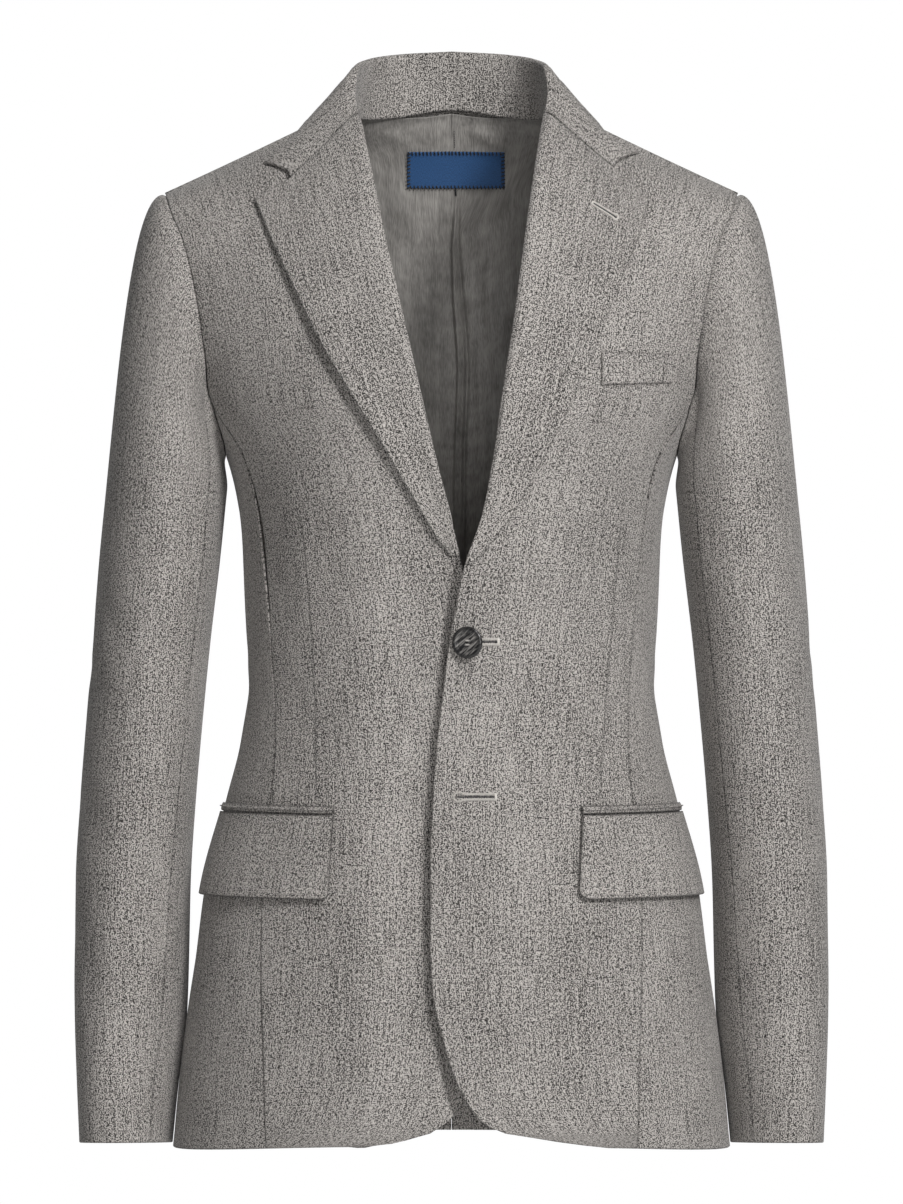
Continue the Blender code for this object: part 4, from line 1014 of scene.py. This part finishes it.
def collar_half(side):
    """Rows from the centre back to the gorge, columns from the stand's foot over the fold to the edge."""
    even = np.linspace(0.0, 1.0 - RIM_END / COLLAR_LENGTH, 44)
    station = LAST_STATION * np.concatenate([even, 1 - RIM_LINES[::-1] / COLLAR_LENGTH])
    top_row = last_row(LAPEL[side])
    place = np.linspace(0.0, 1.0, 60)
    lapel_top = lapel_surface(side, place, top_row)
    lapel_share = curve(place, LAPEL_PROFILE["place"], LAPEL_PROFILE["share"])
    stand_end, fold_end = lapel_surface(side, [0.0, FOLD_PLACE], top_row) + GORGE_RISE
    corner, tip = on_front(left_front, *np.transpose(list(NOTCH[side].values())))[0] + GORGE_RISE
    lasts = (stand_end[0] + STAND_INSET, stand_end[1], *fold_end, tip[0], tip[1])
    rows = zip(COLLAR.values(), lasts)
    value = [curve(station, np.arange(6.0), np.append(column, last)) for column, last in rows]
    foot_plan = np.stack(value[:2], axis=-1)
    foot_plan = foot_plan - unit(foot_plan) * STAND_INSET
    foot = on_shoulders(*foot_plan.T)[0]
    foot[:, 2] += np.interp(station, STAND_LIFT_STATIONS, STAND_LIFT)
    ending = np.clip((station - ENDING_FROM) / (LAST_STATION - ENDING_FROM), 0.0, 1.0)[:, None]
    foot = foot + (stand_end - foot) * ending
    fold = np.stack(value[2:5], axis=-1)
    edge_plan = np.stack(value[5:], axis=-1)
    away = np.zeros_like(fold)
    away[:, :2] = unit(edge_plan - fold[:, :2])
    to_gorge = np.clip(station - LAST_CURVED, 0.0, 1.0)[:, None]
    radius = FOLD_RADIUS * (1 - FOLD_NARROWING * to_gorge)
    under_fold = fold - UP * radius
    centre = under_fold + away * radius
    columns = [foot + (under_fold - foot) * share for share in STAND_SHARES]
    columns += [centre + away * radius * math.cos(turn) + UP * radius * math.sin(turn) for turn in FOLD_TURNS]
    start = centre + away * radius
    base, normal = on_shoulders(start[:, 0], start[:, 1])
    gap = (start - base - normal * COLLAR_LIFT)[:, 2:]
    straight = fold[-1, :2] + (tip[:2] - fold[-1, :2]) * NOTCH_SHARE
    bent = (corner[:2] - straight) * to_gorge**2
    for share in FALL_SHARES:
        plan = start[:, :2] + (edge_plan - start[:, :2]) * share + bent * notch_tent(share)
        base, normal = on_shoulders(*plan.T)
        column = base + normal * COLLAR_LIFT + UP * gap * (1 - share)
        if 0.0 < share <= NOTCH_SHARE:
            along_gorge = np.array([np.interp(share, lapel_share, axis) for axis in lapel_top.T])
            column = column + (along_gorge + GORGE_RISE - column[-1]) * ending**2
        columns.append(column)
    return np.stack(columns, axis=1) * [side, 1.0, 1.0]


points = np.concatenate([collar_half(-1)[::-1], collar_half(1)[1:]])
outward = np.zeros_like(points)
outward[:, -1] = points[:, -1] - COLLAR_MIDDLE
piece = cloth_wall("collar_cloth", points, outward, wool, grain="columns")
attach(piece, "root")
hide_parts("collar")


# ----------------------------------------
# Pockets. Two hip pockets, each a narrow jet with a lined flap below it, and a breast pocket on the left
# front whose welt is a folded strip, sewn down at both ends.

POCKET_LIFT = 0.6
FLAP_TOP_Z = -459.6
FLAP_LENGTH, FLAP_DEPTH = 112.0, 55.5
FLAP_END = math.radians(87.0)
HIP_LEVELS = (0.9, 10.0)
FLAP_INNER_X = {1: (84.9, 82.6), -1: (76.4, 79.8)}
FLAP_CORNER = {1: 6.0, -1: 3.5}
FLAP_CLOTH = 1.8
FLAP_OFF, FLAP_SWING, FLAP_STEP = 0.5, 1.6, 3.0
# The flap and jet are pressed down over their last part.
PRESSED_BY, PRESSED_FROM = 0.8, 0.75
JET_GAP = 0.45
JET_HEIGHT = 5.6
JET_CLOTH = 1.2
JET_OFF, JET_PUFF, JET_STEP = 0.6, 0.5, 1.4
WELT_X = (98.0, 145.5)
WELT_Z = (-155.6, -177.6)
WELT_SLANT = 3.0
WELT_LIFT, WELT_PUFF, WELT_STEP = 0.4, 0.4, 2.5
# Creases of the flaps: how far from the inner end, and height.
FLAP_CREASES = {1: table("""from_x from_z to_x to_z bow wide deep
20 -462 34 -512 4 12 0.5
70 -470 60 -512 3 12 -0.6"""), -1: table("""from_x from_z to_x to_z bow wide deep
30 -464 40 -512 3 12 0.6
86 -466 78 -512 3 11 -0.5""")}


def hip_cloth(inner_x, columns, z, lift):
    """Points over the hip, from an inner reach along each row to the side line, with the way out of them."""
    level = np.linspace(*HIP_LEVELS, 400)
    level = np.interp(z, row_value(FRONT, "centre_z", level), level)
    start = np.arcsin(inner_x / row_value(FRONT, "width", level))
    angle = start + (FLAP_END - start) * columns
    normal = normals_of(left_front, angle, level)
    return left_front(angle, level) + normal * lift[..., None], normal


columns = spread(FLAP_LENGTH, FLAP_STEP)[None, :]
pressed = PRESSED_BY * smooth((columns - PRESSED_FROM) / (1 - PRESSED_FROM))
for side, word in SIDES:
    top_x, bottom_x = FLAP_INNER_X[side]
    corner = FLAP_CORNER[side]
    distance = np.clip(columns * FLAP_LENGTH, 0.0, corner)
    rounding = corner - np.sqrt(corner**2 - (corner - distance) ** 2)
    rows = spread(FLAP_DEPTH, FLAP_STEP)[:, None]
    z = FLAP_TOP_Z - rows * (FLAP_DEPTH - rounding)
    dents = creases(columns * FLAP_LENGTH, z, FLAP_CREASES[side])
    lift = POCKET_LIFT + FLAP_CLOTH + FLAP_OFF + FLAP_SWING * rows - dents - pressed
    points, outward = hip_cloth(top_x + (bottom_x - top_x) * rows, columns, z, lift)
    piece = cloth_wall(f"flap_{word}_cloth", points, outward, edge_shaded_wool, thickness=FLAP_CLOTH, flip=side)
    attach(piece, "root")
    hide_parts(f"flap_{word}")
    rows = spread(JET_HEIGHT, JET_STEP)[:, None]
    z = FLAP_TOP_Z + JET_GAP + JET_HEIGHT * (1 - rows)
    lift = POCKET_LIFT + JET_CLOTH + JET_OFF + JET_PUFF * np.sin(np.pi * rows) - pressed
    points, outward = hip_cloth(top_x - JET_GAP, columns, z, lift)
    piece = cloth_wall(f"jet_{word}_cloth", points, outward, edge_shaded_wool, thickness=JET_CLOTH, flip=side)
    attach(piece, "root")
    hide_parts(f"jet_{word}")

across = spread(WELT_X[1] - WELT_X[0], WELT_STEP)[None, :]
down = spread(WELT_Z[0] - WELT_Z[1], WELT_STEP)[:, None]
z = WELT_Z[0] + (WELT_Z[1] - WELT_Z[0] + WELT_SLANT * across) * down
points, outward = on_front(left_front, WELT_X[0] + (WELT_X[1] - WELT_X[0]) * across, z)
lift = WELT_LIFT + JET_CLOTH + WELT_PUFF * np.sin(np.pi * across) * (1 - down)
points = points + outward * lift[..., None]
piece = cloth_wall("breast_welt_cloth", points, outward, wool, thickness=JET_CLOTH)
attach(piece, "root")
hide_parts("breast_welt")


# ----------------------------------------
# Lining. One piece of satin over both backs with a centre pleat that gives ease below the label. It is
# felled to the neck seam, and its hem hangs just inside the jacket's.

LINING = 1.0
LINING_GAP, LINING_TOP_GAP, LINING_TOP_SHARE = 3.6, 1.6, 0.035
LINING_HEM, LINING_SEAM, LINING_SHARE = 0.35, 0.03, 0.965
LINING_WIDTH, LINING_LENGTH = 330.0, 700.0
LINING_STEPS = (2.2, 6.0)
# How much closer the grid's lines lie at the pleat, and how its rows close up towards the neck.
CLOSE_AT_PLEAT, CLOSE_AT_NECK = 0.25, 1.6
NECK_LEVEL = 15.42
INWARD = np.array([0.0, -1.0, 0.0])
# The pleat hangs as a narrow fold that wanders a little, with a groove at its right side.
PLEAT = table("""z fold_x
-700 2
-263 1.7
-210 2.4
-183 3.7
-156 4.4
-135 3
-108 1
-74 0.4
-39 3""")
PLEAT_TOP_Z, PLEAT_FADE, PLEAT_SPREAD = -38.0, 30.0, 90.0
PLEAT_WIDTH = (2.2, 6.2)
PLEAT_BEFORE, PLEAT_RISE, PLEAT_FALL = 0.8, 1.4, 1.2
PLEAT_DEPTH, PLEAT_FAR_SHARE, PLEAT_RUN = 4.2, 0.55, 5.0
PLEAT_GROOVE, GROOVE_OFF, GROOVE_WIDTH = 3.2, 0.6, 0.9
LINING_CREASES = table("""from_x from_z to_x to_z bow wide deep
-30 -70 -44 -240 5 6 1.7
26 -60 40 -200 -5 5 1.9
44 -30 18 -110 4 6 1.6
12 -90 22 -260 3 4 1.4
-14 -150 -24 -330 3 5 1.4
36 -160 22 -300 4 7 -1.6
-60 -120 -34 -210 6 7 1.6
60 -90 40 -180 -6 7 1.6
-58 2 -24 -9 3 5 1.3
12 6 46 -6 -4 5 1.4
50 -8 30 -52 5 5 1.5
-48 -20 -34 -74 4 5 1.5
-8 -60 -16 -140 3 4 1.2
-20 -400 -30 -620 5 10 1
40 -380 46 -630 5 12 1
90 -360 96 -620 5 12 -0.9
-90 -360 -86 -620 5 12 0.9""")
# Threads of the satin, as the wool's yarns are given.
SATIN_THREADS = ((0.9, 6.0, 0.7), (4.0, 50.0, 0.4), (14.0, 9.0, 0.4), (30.0, 22.0, 0.35))
SATIN_DARK = (0.15, 0.144, 0.136)
SATIN_PALE = (0.41, 0.394, 0.373)
SATIN_RELIEF = (0.6, 0.0008)

lining_satin, shader, start = new_material("lining_satin", 0.42, Sheen_Weight=0.1, Specular_IOR_Level=0.45)
thread = woven(start, SATIN_THREADS, 2.0)
dress(shader, thread.between(0.0, 1.0).blend(SATIN_DARK, SATIN_PALE), thread, SATIN_RELIEF)

level = np.linspace(NECK_LEVEL, last_row(BACK), 60)
neck_share = neckline_angle(level) / (row_value(BACK, "end_angle", level) * LINING_SHARE)
share = 2.0 * spread(LINING_WIDTH, LINING_STEPS[0]) - 1.0
share = share * (CLOSE_AT_PLEAT + (1 - CLOSE_AT_PLEAT) * share**2)
top = np.interp(np.abs(share), neck_share, level) - LINING_SEAM
down = 1.0 - (1.0 - spread(LINING_LENGTH, LINING_STEPS[1])[:, None]) ** CLOSE_AT_NECK
level = LINING_HEM + (top - LINING_HEM) * down
angle = np.abs(share) * LINING_SHARE * row_value(BACK, "end_angle", level)
base = back_half(angle, level)
mirror = np.where((share < 0)[:, None], MIRROR, 1.0)
x, z = base[..., 0] * mirror[:, 0], base[..., 2]
wide = PLEAT_WIDTH[0] + (PLEAT_WIDTH[1] - PLEAT_WIDTH[0]) * smooth((PLEAT_TOP_Z - z) / PLEAT_SPREAD)
aside = x - np.interp(z, PLEAT["z"], PLEAT["fold_x"])
pleat = PLEAT_DEPTH * smooth((aside + PLEAT_BEFORE) / PLEAT_RISE) * smooth((wide - aside) / PLEAT_FALL)
pleat = pleat * (PLEAT_FAR_SHARE + (1 - PLEAT_FAR_SHARE) * smooth(1.0 - aside / PLEAT_RUN))
pleat = pleat - PLEAT_GROOVE * hill(aside, wide + GROOVE_OFF, GROOVE_WIDTH)
dents = creases(x, z, LINING_CREASES) + pleat * smooth((PLEAT_TOP_Z - z) / PLEAT_FADE)
near_top = smooth((down - 1.0) / LINING_TOP_SHARE + 1.0)
lift = CLOTH + LINING + LINING_GAP - (LINING_GAP - LINING_TOP_GAP) * near_top + dents
points = (base - normals_of(back_half, angle, level) * lift[..., None]) * mirror
piece = cloth_wall("back_lining_cloth", points, INWARD, lining_satin, thickness=LINING)
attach(piece, "root")
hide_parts("back_lining")


# ----------------------------------------
# Label. A plain woven navy label without any mark, cut from a ribbon with its ends folded under. It lies
# flat on the lining below the neck and is sewn to it all round.

LABEL_X = (-31.0, 37.2)
LABEL_Z = (-11.0, -36.0)
LABEL_CLOTH, LABEL_RIM, LABEL_BOW, LABEL_REST = 0.8, 0.5, 0.3, 0.4
LABEL_OFF = CLOTH + LINING_GAP + LINING + LABEL_REST + LABEL_CLOTH
LABEL_STEPS = (3.0, 2.5)
# Threads of the label, as the wool's yarns are given.
LABEL_THREADS = ((1 / 3, 10 / 9, 1.0),)
LABEL_DARK = (0.013, 0.056, 0.155)
LABEL_PALE = (0.024, 0.10, 0.27)
LABEL_RELIEF = (0.5, 0.0001)

label_weave, shader, start = new_material("label_weave", 0.55, Sheen_Weight=0.2, Specular_IOR_Level=0.35)
thread = woven(start, LABEL_THREADS)
dress(shader, thread.between(0.2, 0.8).blend(LABEL_DARK, LABEL_PALE), thread, LABEL_RELIEF)


def inside_back(x, z, lift):
    """Places inside the back, seen from the front, as far off its outer face as the lift says."""
    x, z = np.broadcast_arrays(x, z)
    points, normals = seen_spots(BACK, back_half, np.abs(x), z)
    return (points - normals * lift[..., None]) * np.where((x < 0)[..., None], MIRROR, 1.0)


across = spread(LABEL_X[1] - LABEL_X[0], LABEL_STEPS[0])[None, :]
down = spread(LABEL_Z[0] - LABEL_Z[1], LABEL_STEPS[1])[:, None]
x = LABEL_X[0] + (LABEL_X[1] - LABEL_X[0]) * across
z = LABEL_Z[0] + (LABEL_Z[1] - LABEL_Z[0]) * down
points = inside_back(x, z, LABEL_OFF + LABEL_BOW * np.sin(np.pi * across) * down)
piece = cloth_wall("label_cloth", points, INWARD, label_weave, thickness=LABEL_CLOTH, rim=LABEL_RIM)
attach(piece, "root")
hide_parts("label")


# ----------------------------------------
# Buttonholes. Three keyhole holes worked in pale thread on the left front and its lapel: a slit with an
# eyelet, whipped all round with close stitches that end in a bar. The cloth is not cut: dark threads along
# the slit paint the shade inside the cut. Each is sewn through the cloth.

THREAD_SIDES = 6
THREAD_TWIST, THREAD_TONE = 2600.0, (0.3, 0.7)
STITCH_PITCH, STITCH_RADIUS = 0.62, 0.34
# Each stitch rises out of the cloth and dips into it again: how far out it lies there, and how high.
STITCH_REACH = np.array([0.0, 0.25, 0.6, 0.95, 1.2])
STITCH_HEIGHT = np.array([-0.3, 0.6, 0.85, 0.6, -0.3])
SLIT_HALF, SLIT_WIDENING, WIDENING_RUN = 1.15, 0.3, 1.2
# The slit's dark threads are painted shade: their radius, height over the cloth and steps along it.
SLIT_SHADE_RADIUS, SLIT_HEIGHT, SLIT_STEPS = 0.3, 0.12, 24
SLIT_START, SLIT_END = -1.4, -0.2
EYELET_RADIUS = 2.6
EYELET_ARC = np.radians(np.linspace(38.0, 322.0, 19))
BAR_HALF = 2.6
BAR_STRANDS = np.array([[0.0], [0.5], [1.0]])
# Place and row of the lapel from which its buttonhole is looked for.
NEAR_NOTCH = (0.85, 6.2)


def sewn_piece(name, paths, radius, material):
    """Round threads along many paths as one object: a ring of points across each step of a path,
    radius (cos t u + sin t v), with a flat cap at both ends. It rides on the blazer's body."""
    ahead = unit(np.gradient(paths, axis=1))
    aside = unit(np.cross(ahead, [0.31, 0.52, 0.79]))
    above = np.cross(ahead, aside)
    turn = np.linspace(0.0, math.tau, THREAD_SIDES, endpoint=False)[:, None]
    ring = np.cos(turn) * aside[:, :, None] + np.sin(turn) * above[:, :, None]
    points = paths[:, :, None] + radius * ring
    index = np.arange(points[..., 0].size).reshape(points.shape[:3])
    after = np.roll(index, -1, axis=2)
    sides = np.stack([index[:, :-1], after[:, :-1], after[:, 1:], index[:, 1:]], axis=-1).reshape(-1, 4)
    faces = sides.tolist() + index[:, 0, ::-1].tolist() + index[:, -1].tolist()
    piece = new_piece(name, points, faces, material)
    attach(piece, "root")


def thread_material(name, dark, pale):
    """Twisted sewing thread: its shade changes along it in short turns."""
    material, shader, start = new_material(name, 0.6, Sheen_Weight=0.2, Specular_IOR_Level=0.3)
    place = start.node("TexCoord", (), (), 3)
    spots = start.node("TexNoise", (), {"Vector": place, "Scale": THREAD_TWIST, "Detail": 1.0})
    dress(shader, spots.between(*THREAD_TONE).blend(dark, pale))
    return material


pale_thread = thread_material("pale_thread", (0.52, 0.49, 0.46), (0.86, 0.83, 0.79))
# Dark thread for the label and lining stitches, and as painted shade in the buttonhole slits.
dark_thread_and_slit_shade = thread_material("dark_thread_and_slit_shade", (0.006, 0.006, 0.008), (0.022, 0.024, 0.03))


def keyhole(length, half, radius):
    """Outline of a buttonhole from its bar round the eyelet and back: places along and across, and the way
    out. The slit widens towards the eyelet, which is an arc of a circle."""
    straight = np.arange(length, radius, -STITCH_PITCH)
    none = 0 * straight
    widen = half + SLIT_WIDENING * half * hill(straight, radius, WIDENING_RUN)
    along = np.concatenate([straight, radius * np.cos(EYELET_ARC), straight[::-1]])
    across = np.concatenate([widen, radius * np.sin(EYELET_ARC), -widen[::-1]])
    out_along = np.concatenate([none, np.cos(EYELET_ARC), none])
    return along, across, out_along, np.concatenate([none + 1.0, np.sin(EYELET_ARC), none - 1.0])


def worked_hole(name, on_cloth, eyelet, end, share=1.0):
    """Whips a keyhole outline on the cloth from its eyelet to its end, and lays dark threads along its slit
    as painted shade of the cut. The share makes the slit, the eyelet and the bar smaller."""
    length = np.hypot(*np.subtract(end, eyelet))
    ahead = np.subtract(end, eyelet) / length

    def laid(run, aside, height):
        """Points so far ahead of the eyelet, so far aside of it, and so high over the cloth."""
        x = eyelet[0] + ahead[0] * run - ahead[1] * aside
        base, normal = on_cloth(x, eyelet[1] + ahead[1] * run + ahead[0] * aside)
        return base + normal * np.broadcast_to(height, run.shape)[..., None]

    along, across, out_along, out_across = keyhole(length, SLIT_HALF * share, EYELET_RADIUS * share)
    reach = STITCH_REACH * (0.4 + 0.6 * share)
    bar = np.linspace(-BAR_HALF, BAR_HALF, 5) * share
    run = np.concatenate([along[:, None] + out_along[:, None] * reach, length + BAR_STRANDS + 0 * bar])
    aside = np.concatenate([across[:, None] + out_across[:, None] * reach, bar + 0 * BAR_STRANDS])
    sewn_piece(f"{name}_stitches", laid(run, aside, STITCH_HEIGHT), STITCH_RADIUS, pale_thread)
    # Painted shade: two dark threads along the slit stand in for the shade inside the cut.
    aside = 0.5 * SLIT_SHADE_RADIUS * np.array([[-1.0], [1.0]]) + np.zeros(SLIT_STEPS)
    run = np.linspace(SLIT_START, length + SLIT_END, SLIT_STEPS) + 0 * aside
    sewn_piece(f"{name}_slit", laid(run, aside, SLIT_HEIGHT), SLIT_SHADE_RADIUS, dark_thread_and_slit_shade)


def on_left_lapel(x, z):
    """The lapel's seen face at places seen from the front, and the way out of the front below it."""
    left_lapel = partial(lapel_surface, 1)
    guess = [np.full(x.shape, start) for start in NEAR_NOTCH]
    spot = locate(left_lapel, np.stack([x, z], axis=-1), [0, 2], *guess, last_row(LAPEL[1]))
    return left_lapel(*spot), on_front(left_front, x, z)[1]


worked_hole("top_buttonhole", partial(on_front, left_front), (6.5, -345.7), (30.2, -345.7))
worked_hole("lower_buttonhole", partial(on_front, left_front), (4.6, -447.1), (28.4, -447.1))
worked_hole("lapel_buttonhole", on_left_lapel, (108.2, -65.2), (93.6, -56.2), 0.5)


# ----------------------------------------
# Buttons. Two dished horn buttons with a raised rim and four holes, sewn to the right front on a short
# shank of thread. The upper one shows, pulled a little askew, and the lower one lies under the left front.

BUTTON_SEAT = 0.45
BUTTON_TILT = math.radians(24.0)
BUTTON_TURNS = 96
HOLE_PLACE, HOLE_RADIUS, HOLE_EDGE, HOLE_DEPTH = 1.35, 0.75, 0.12, 1.7
# How far along the section the fine grid reaches that the holes need, its step, and where the face ends.
FINE_END, FINE_STEP, FACE_END = 3.4, 0.16, 6.0
# The section from the middle of the face over the rim to the middle of the back: radius and height.
BUTTON_SECTION = table("""radius height
0.05 2
3.6 2
6.6 2.02
7.3 2.35
8.4 2.8
9.4 2.75
10.2 2.3
10.6 1.5
10 0.5
7.5 0
0.05 0""")
HORN_DARK = (0.014, 0.014, 0.015)
HORN_PALE = (0.36, 0.345, 0.33)
HORN_TONE = (0.4, 0.75)
# The horn darkens from one radius to another by a share.
DARK_RIM, DARK_SHARE = (6.8, 9.2), 0.85
# The strands over the face, three through each pair of holes, and those of the shank below it.
STRAND_RADIUS, SHANK_RADIUS, SHANK_FOOT, SHANK_HEAD = 0.13, 0.55, 0.8, 0.2
STRANDS_APART = np.array([-0.36, 0.0, 0.36])
STRAND_X = np.array([-1.25, -1.0, 0.0, 1.0, 1.25]) * HOLE_PLACE
STRAND_HEIGHT = 2.0 + np.array([-1.2, 0.1, 0.42, 0.1, -1.2])

horn, shader, start = new_material("horn", 0.26, Coat_Weight=0.35, Coat_Roughness=0.12)
place = start.node("TexCoord", (), (), 3)
lay = {"Vector": place, "Rotation": (0.0, math.radians(48.0), 0.0), "Scale": (0.0009, 0.004, 0.012)}
streaked = start.node("Mapping", {"vector_type": "TEXTURE"}, lay)
streaks = start.node("TexNoise", (), {"Vector": streaked, "Scale": 1.0, "Detail": 3.0, "Roughness": 0.6})
pale_share = streaks.between(*HORN_TONE) * (1.0 - start.fact("reach").between(*DARK_RIM) * DARK_SHARE)
dress(shader, pale_share.blend(HORN_DARK, HORN_PALE))


def button(name, node, centre, outward, tilt):
    """The section turned about its axis, with four pits for the holes and three strands through each pair."""
    across = unit(np.cross([0.0, 0.0, 1.0], -outward))
    up = np.cross(outward, across)
    axis = outward * math.cos(tilt) + across * math.sin(tilt)
    aside = across * math.cos(tilt) - outward * math.sin(tilt)
    seat = outward * (BUTTON_SEAT + BUTTON_SECTION["radius"].max() * math.sin(tilt))
    centre = centre + seat
    columns = BUTTON_SECTION.values()
    known = np.hypot(*(np.diff(column, prepend=column[0]) for column in columns)).cumsum()
    fine = np.concatenate([np.arange(0.0, FINE_END, FINE_STEP), np.linspace(FINE_END, known[-1], 56)])
    radius, height = (curve(fine, known, column)[:, None] for column in columns)
    turn = np.linspace(0.0, math.tau, BUTTON_TURNS, endpoint=False)
    x, z = radius * np.cos(turn), radius * np.sin(turn)
    to_hole = np.hypot(np.abs(x) - HOLE_PLACE, np.abs(z) - HOLE_PLACE)
    pit = smooth((HOLE_RADIUS + HOLE_EDGE - to_hole) / (2 * HOLE_EDGE)) * (fine < FACE_END)[:, None]
    height = height - HOLE_DEPTH * pit
    points = centre + x[..., None] * aside + z[..., None] * up + height[..., None] * axis
    index = np.arange(x.size).reshape(x.shape)
    after = np.roll(index, -1, axis=1)
    sides = np.stack([index[:-1], index[1:], after[1:], after[:-1]], axis=-1).reshape(-1, 4)
    piece = new_piece(name, points, sides.tolist() + [index[0].tolist(), index[-1, ::-1].tolist()], horn)
    add_fact(piece, "reach", np.repeat(radius, BUTTON_TURNS))
    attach(piece, "root")
    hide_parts(node)
    rows = np.concatenate([STRANDS_APART + HOLE_PLACE, STRANDS_APART - HOLE_PLACE])[:, None, None]
    bars = centre + STRAND_X[:, None] * aside + rows * up + STRAND_HEIGHT[:, None] * axis
    sewn_piece(f"{name}_thread", bars, STRAND_RADIUS, pale_thread)
    corners = HOLE_PLACE * np.array([(1, 1), (1, -1), (-1, 1), (-1, -1)])
    feet = centre - seat + SHANK_FOOT * (corners[:, :1] * across + corners[:, 1:] * up)
    heads = centre + corners[:, :1] * aside + corners[:, 1:] * up + SHANK_HEAD * axis
    shank = feet[:, None] + (heads - feet)[:, None] * np.linspace(-0.1, 1.0, 5)[:, None]
    sewn_piece(f"{name}_shank", shank, SHANK_RADIUS, pale_thread)


base, normal = on_front(left_front, 10.5, -345.7)
button("button_top_horn", "button_top", base, normal, BUTTON_TILT)
base, normal = on_front(right_front, -9.5, -447.0)
button("button_lower_horn", "button_lower", base * MIRROR, normal * MIRROR, 0.0)


# ----------------------------------------
# Inner hand sewing. Dark stitches hold the label all round, small ones close the lining's centre seam above
# it, and a thread bar below it holds the head of the pleat.

STITCH_BOW = 0.22 * np.sin(np.linspace(0.0, math.pi, 5)) - 0.1
LABEL_THREAD, LINING_THREAD = 0.46, 0.2
PLEAT_HEAD = ((2.6, -36.2), (3.2, -41.8))
BAR_APART = (-0.3, 0.1, 0.5)
LINING_OFF = CLOTH + LINING_GAP + LINING
LABEL_STITCH = {"pitch": 2.6, "long": 0.6, "across": 2.1, "lift": LABEL_OFF + 0.6}
SEAM_STITCH = {"pitch": 1.6, "long": 0.9, "across": 0.0, "lift": LINING_OFF + 0.5}
BAR_STITCH = {"pitch": 9.0, "long": 4.6, "across": 0.0, "lift": LINING_OFF + 0.7}


def stitch_row(first, last, pitch, long, across, lift):
    """Short stitches from one place inside the back to another, each bowed over the cloth. They lie along the
    line, or across it where the step across is set."""
    run = np.subtract(last, first)
    length = np.hypot(*run)
    run = run / length
    starts = np.arange(0.4, length - long, pitch)[:, None] + np.linspace(0.0, long, 5)
    aside = np.linspace(-0.2, 1.0, 5) * across
    x, z = first[0] + run[0] * starts + run[1] * aside, first[1] + run[1] * starts - run[0] * aside
    return inside_back(x, z, lift + STITCH_BOW)


left, right, top, bottom = *LABEL_X, *LABEL_Z
corners = [(left, top), (right, top), (right, bottom), (left, bottom), (left, top)]
rows = [stitch_row(first, last, **LABEL_STITCH) for first, last in zip(corners[:-1], corners[1:])]
sewn_piece("label_stitches", np.concatenate(rows), LABEL_THREAD, dark_thread_and_slit_shade)
rows = [stitch_row((2.4, 4.0), (2.4, -9.6), **SEAM_STITCH)]
rows += [stitch_row(*(np.add(end, (aside, 0.0)) for end in PLEAT_HEAD), **BAR_STITCH) for aside in BAR_APART]
sewn_piece("lining_stitches", np.concatenate(rows), LINING_THREAD, dark_thread_and_slit_shade)


size = {"cad": [list(corner) for corner in cad_box], "scene": [list(corner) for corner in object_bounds()]}
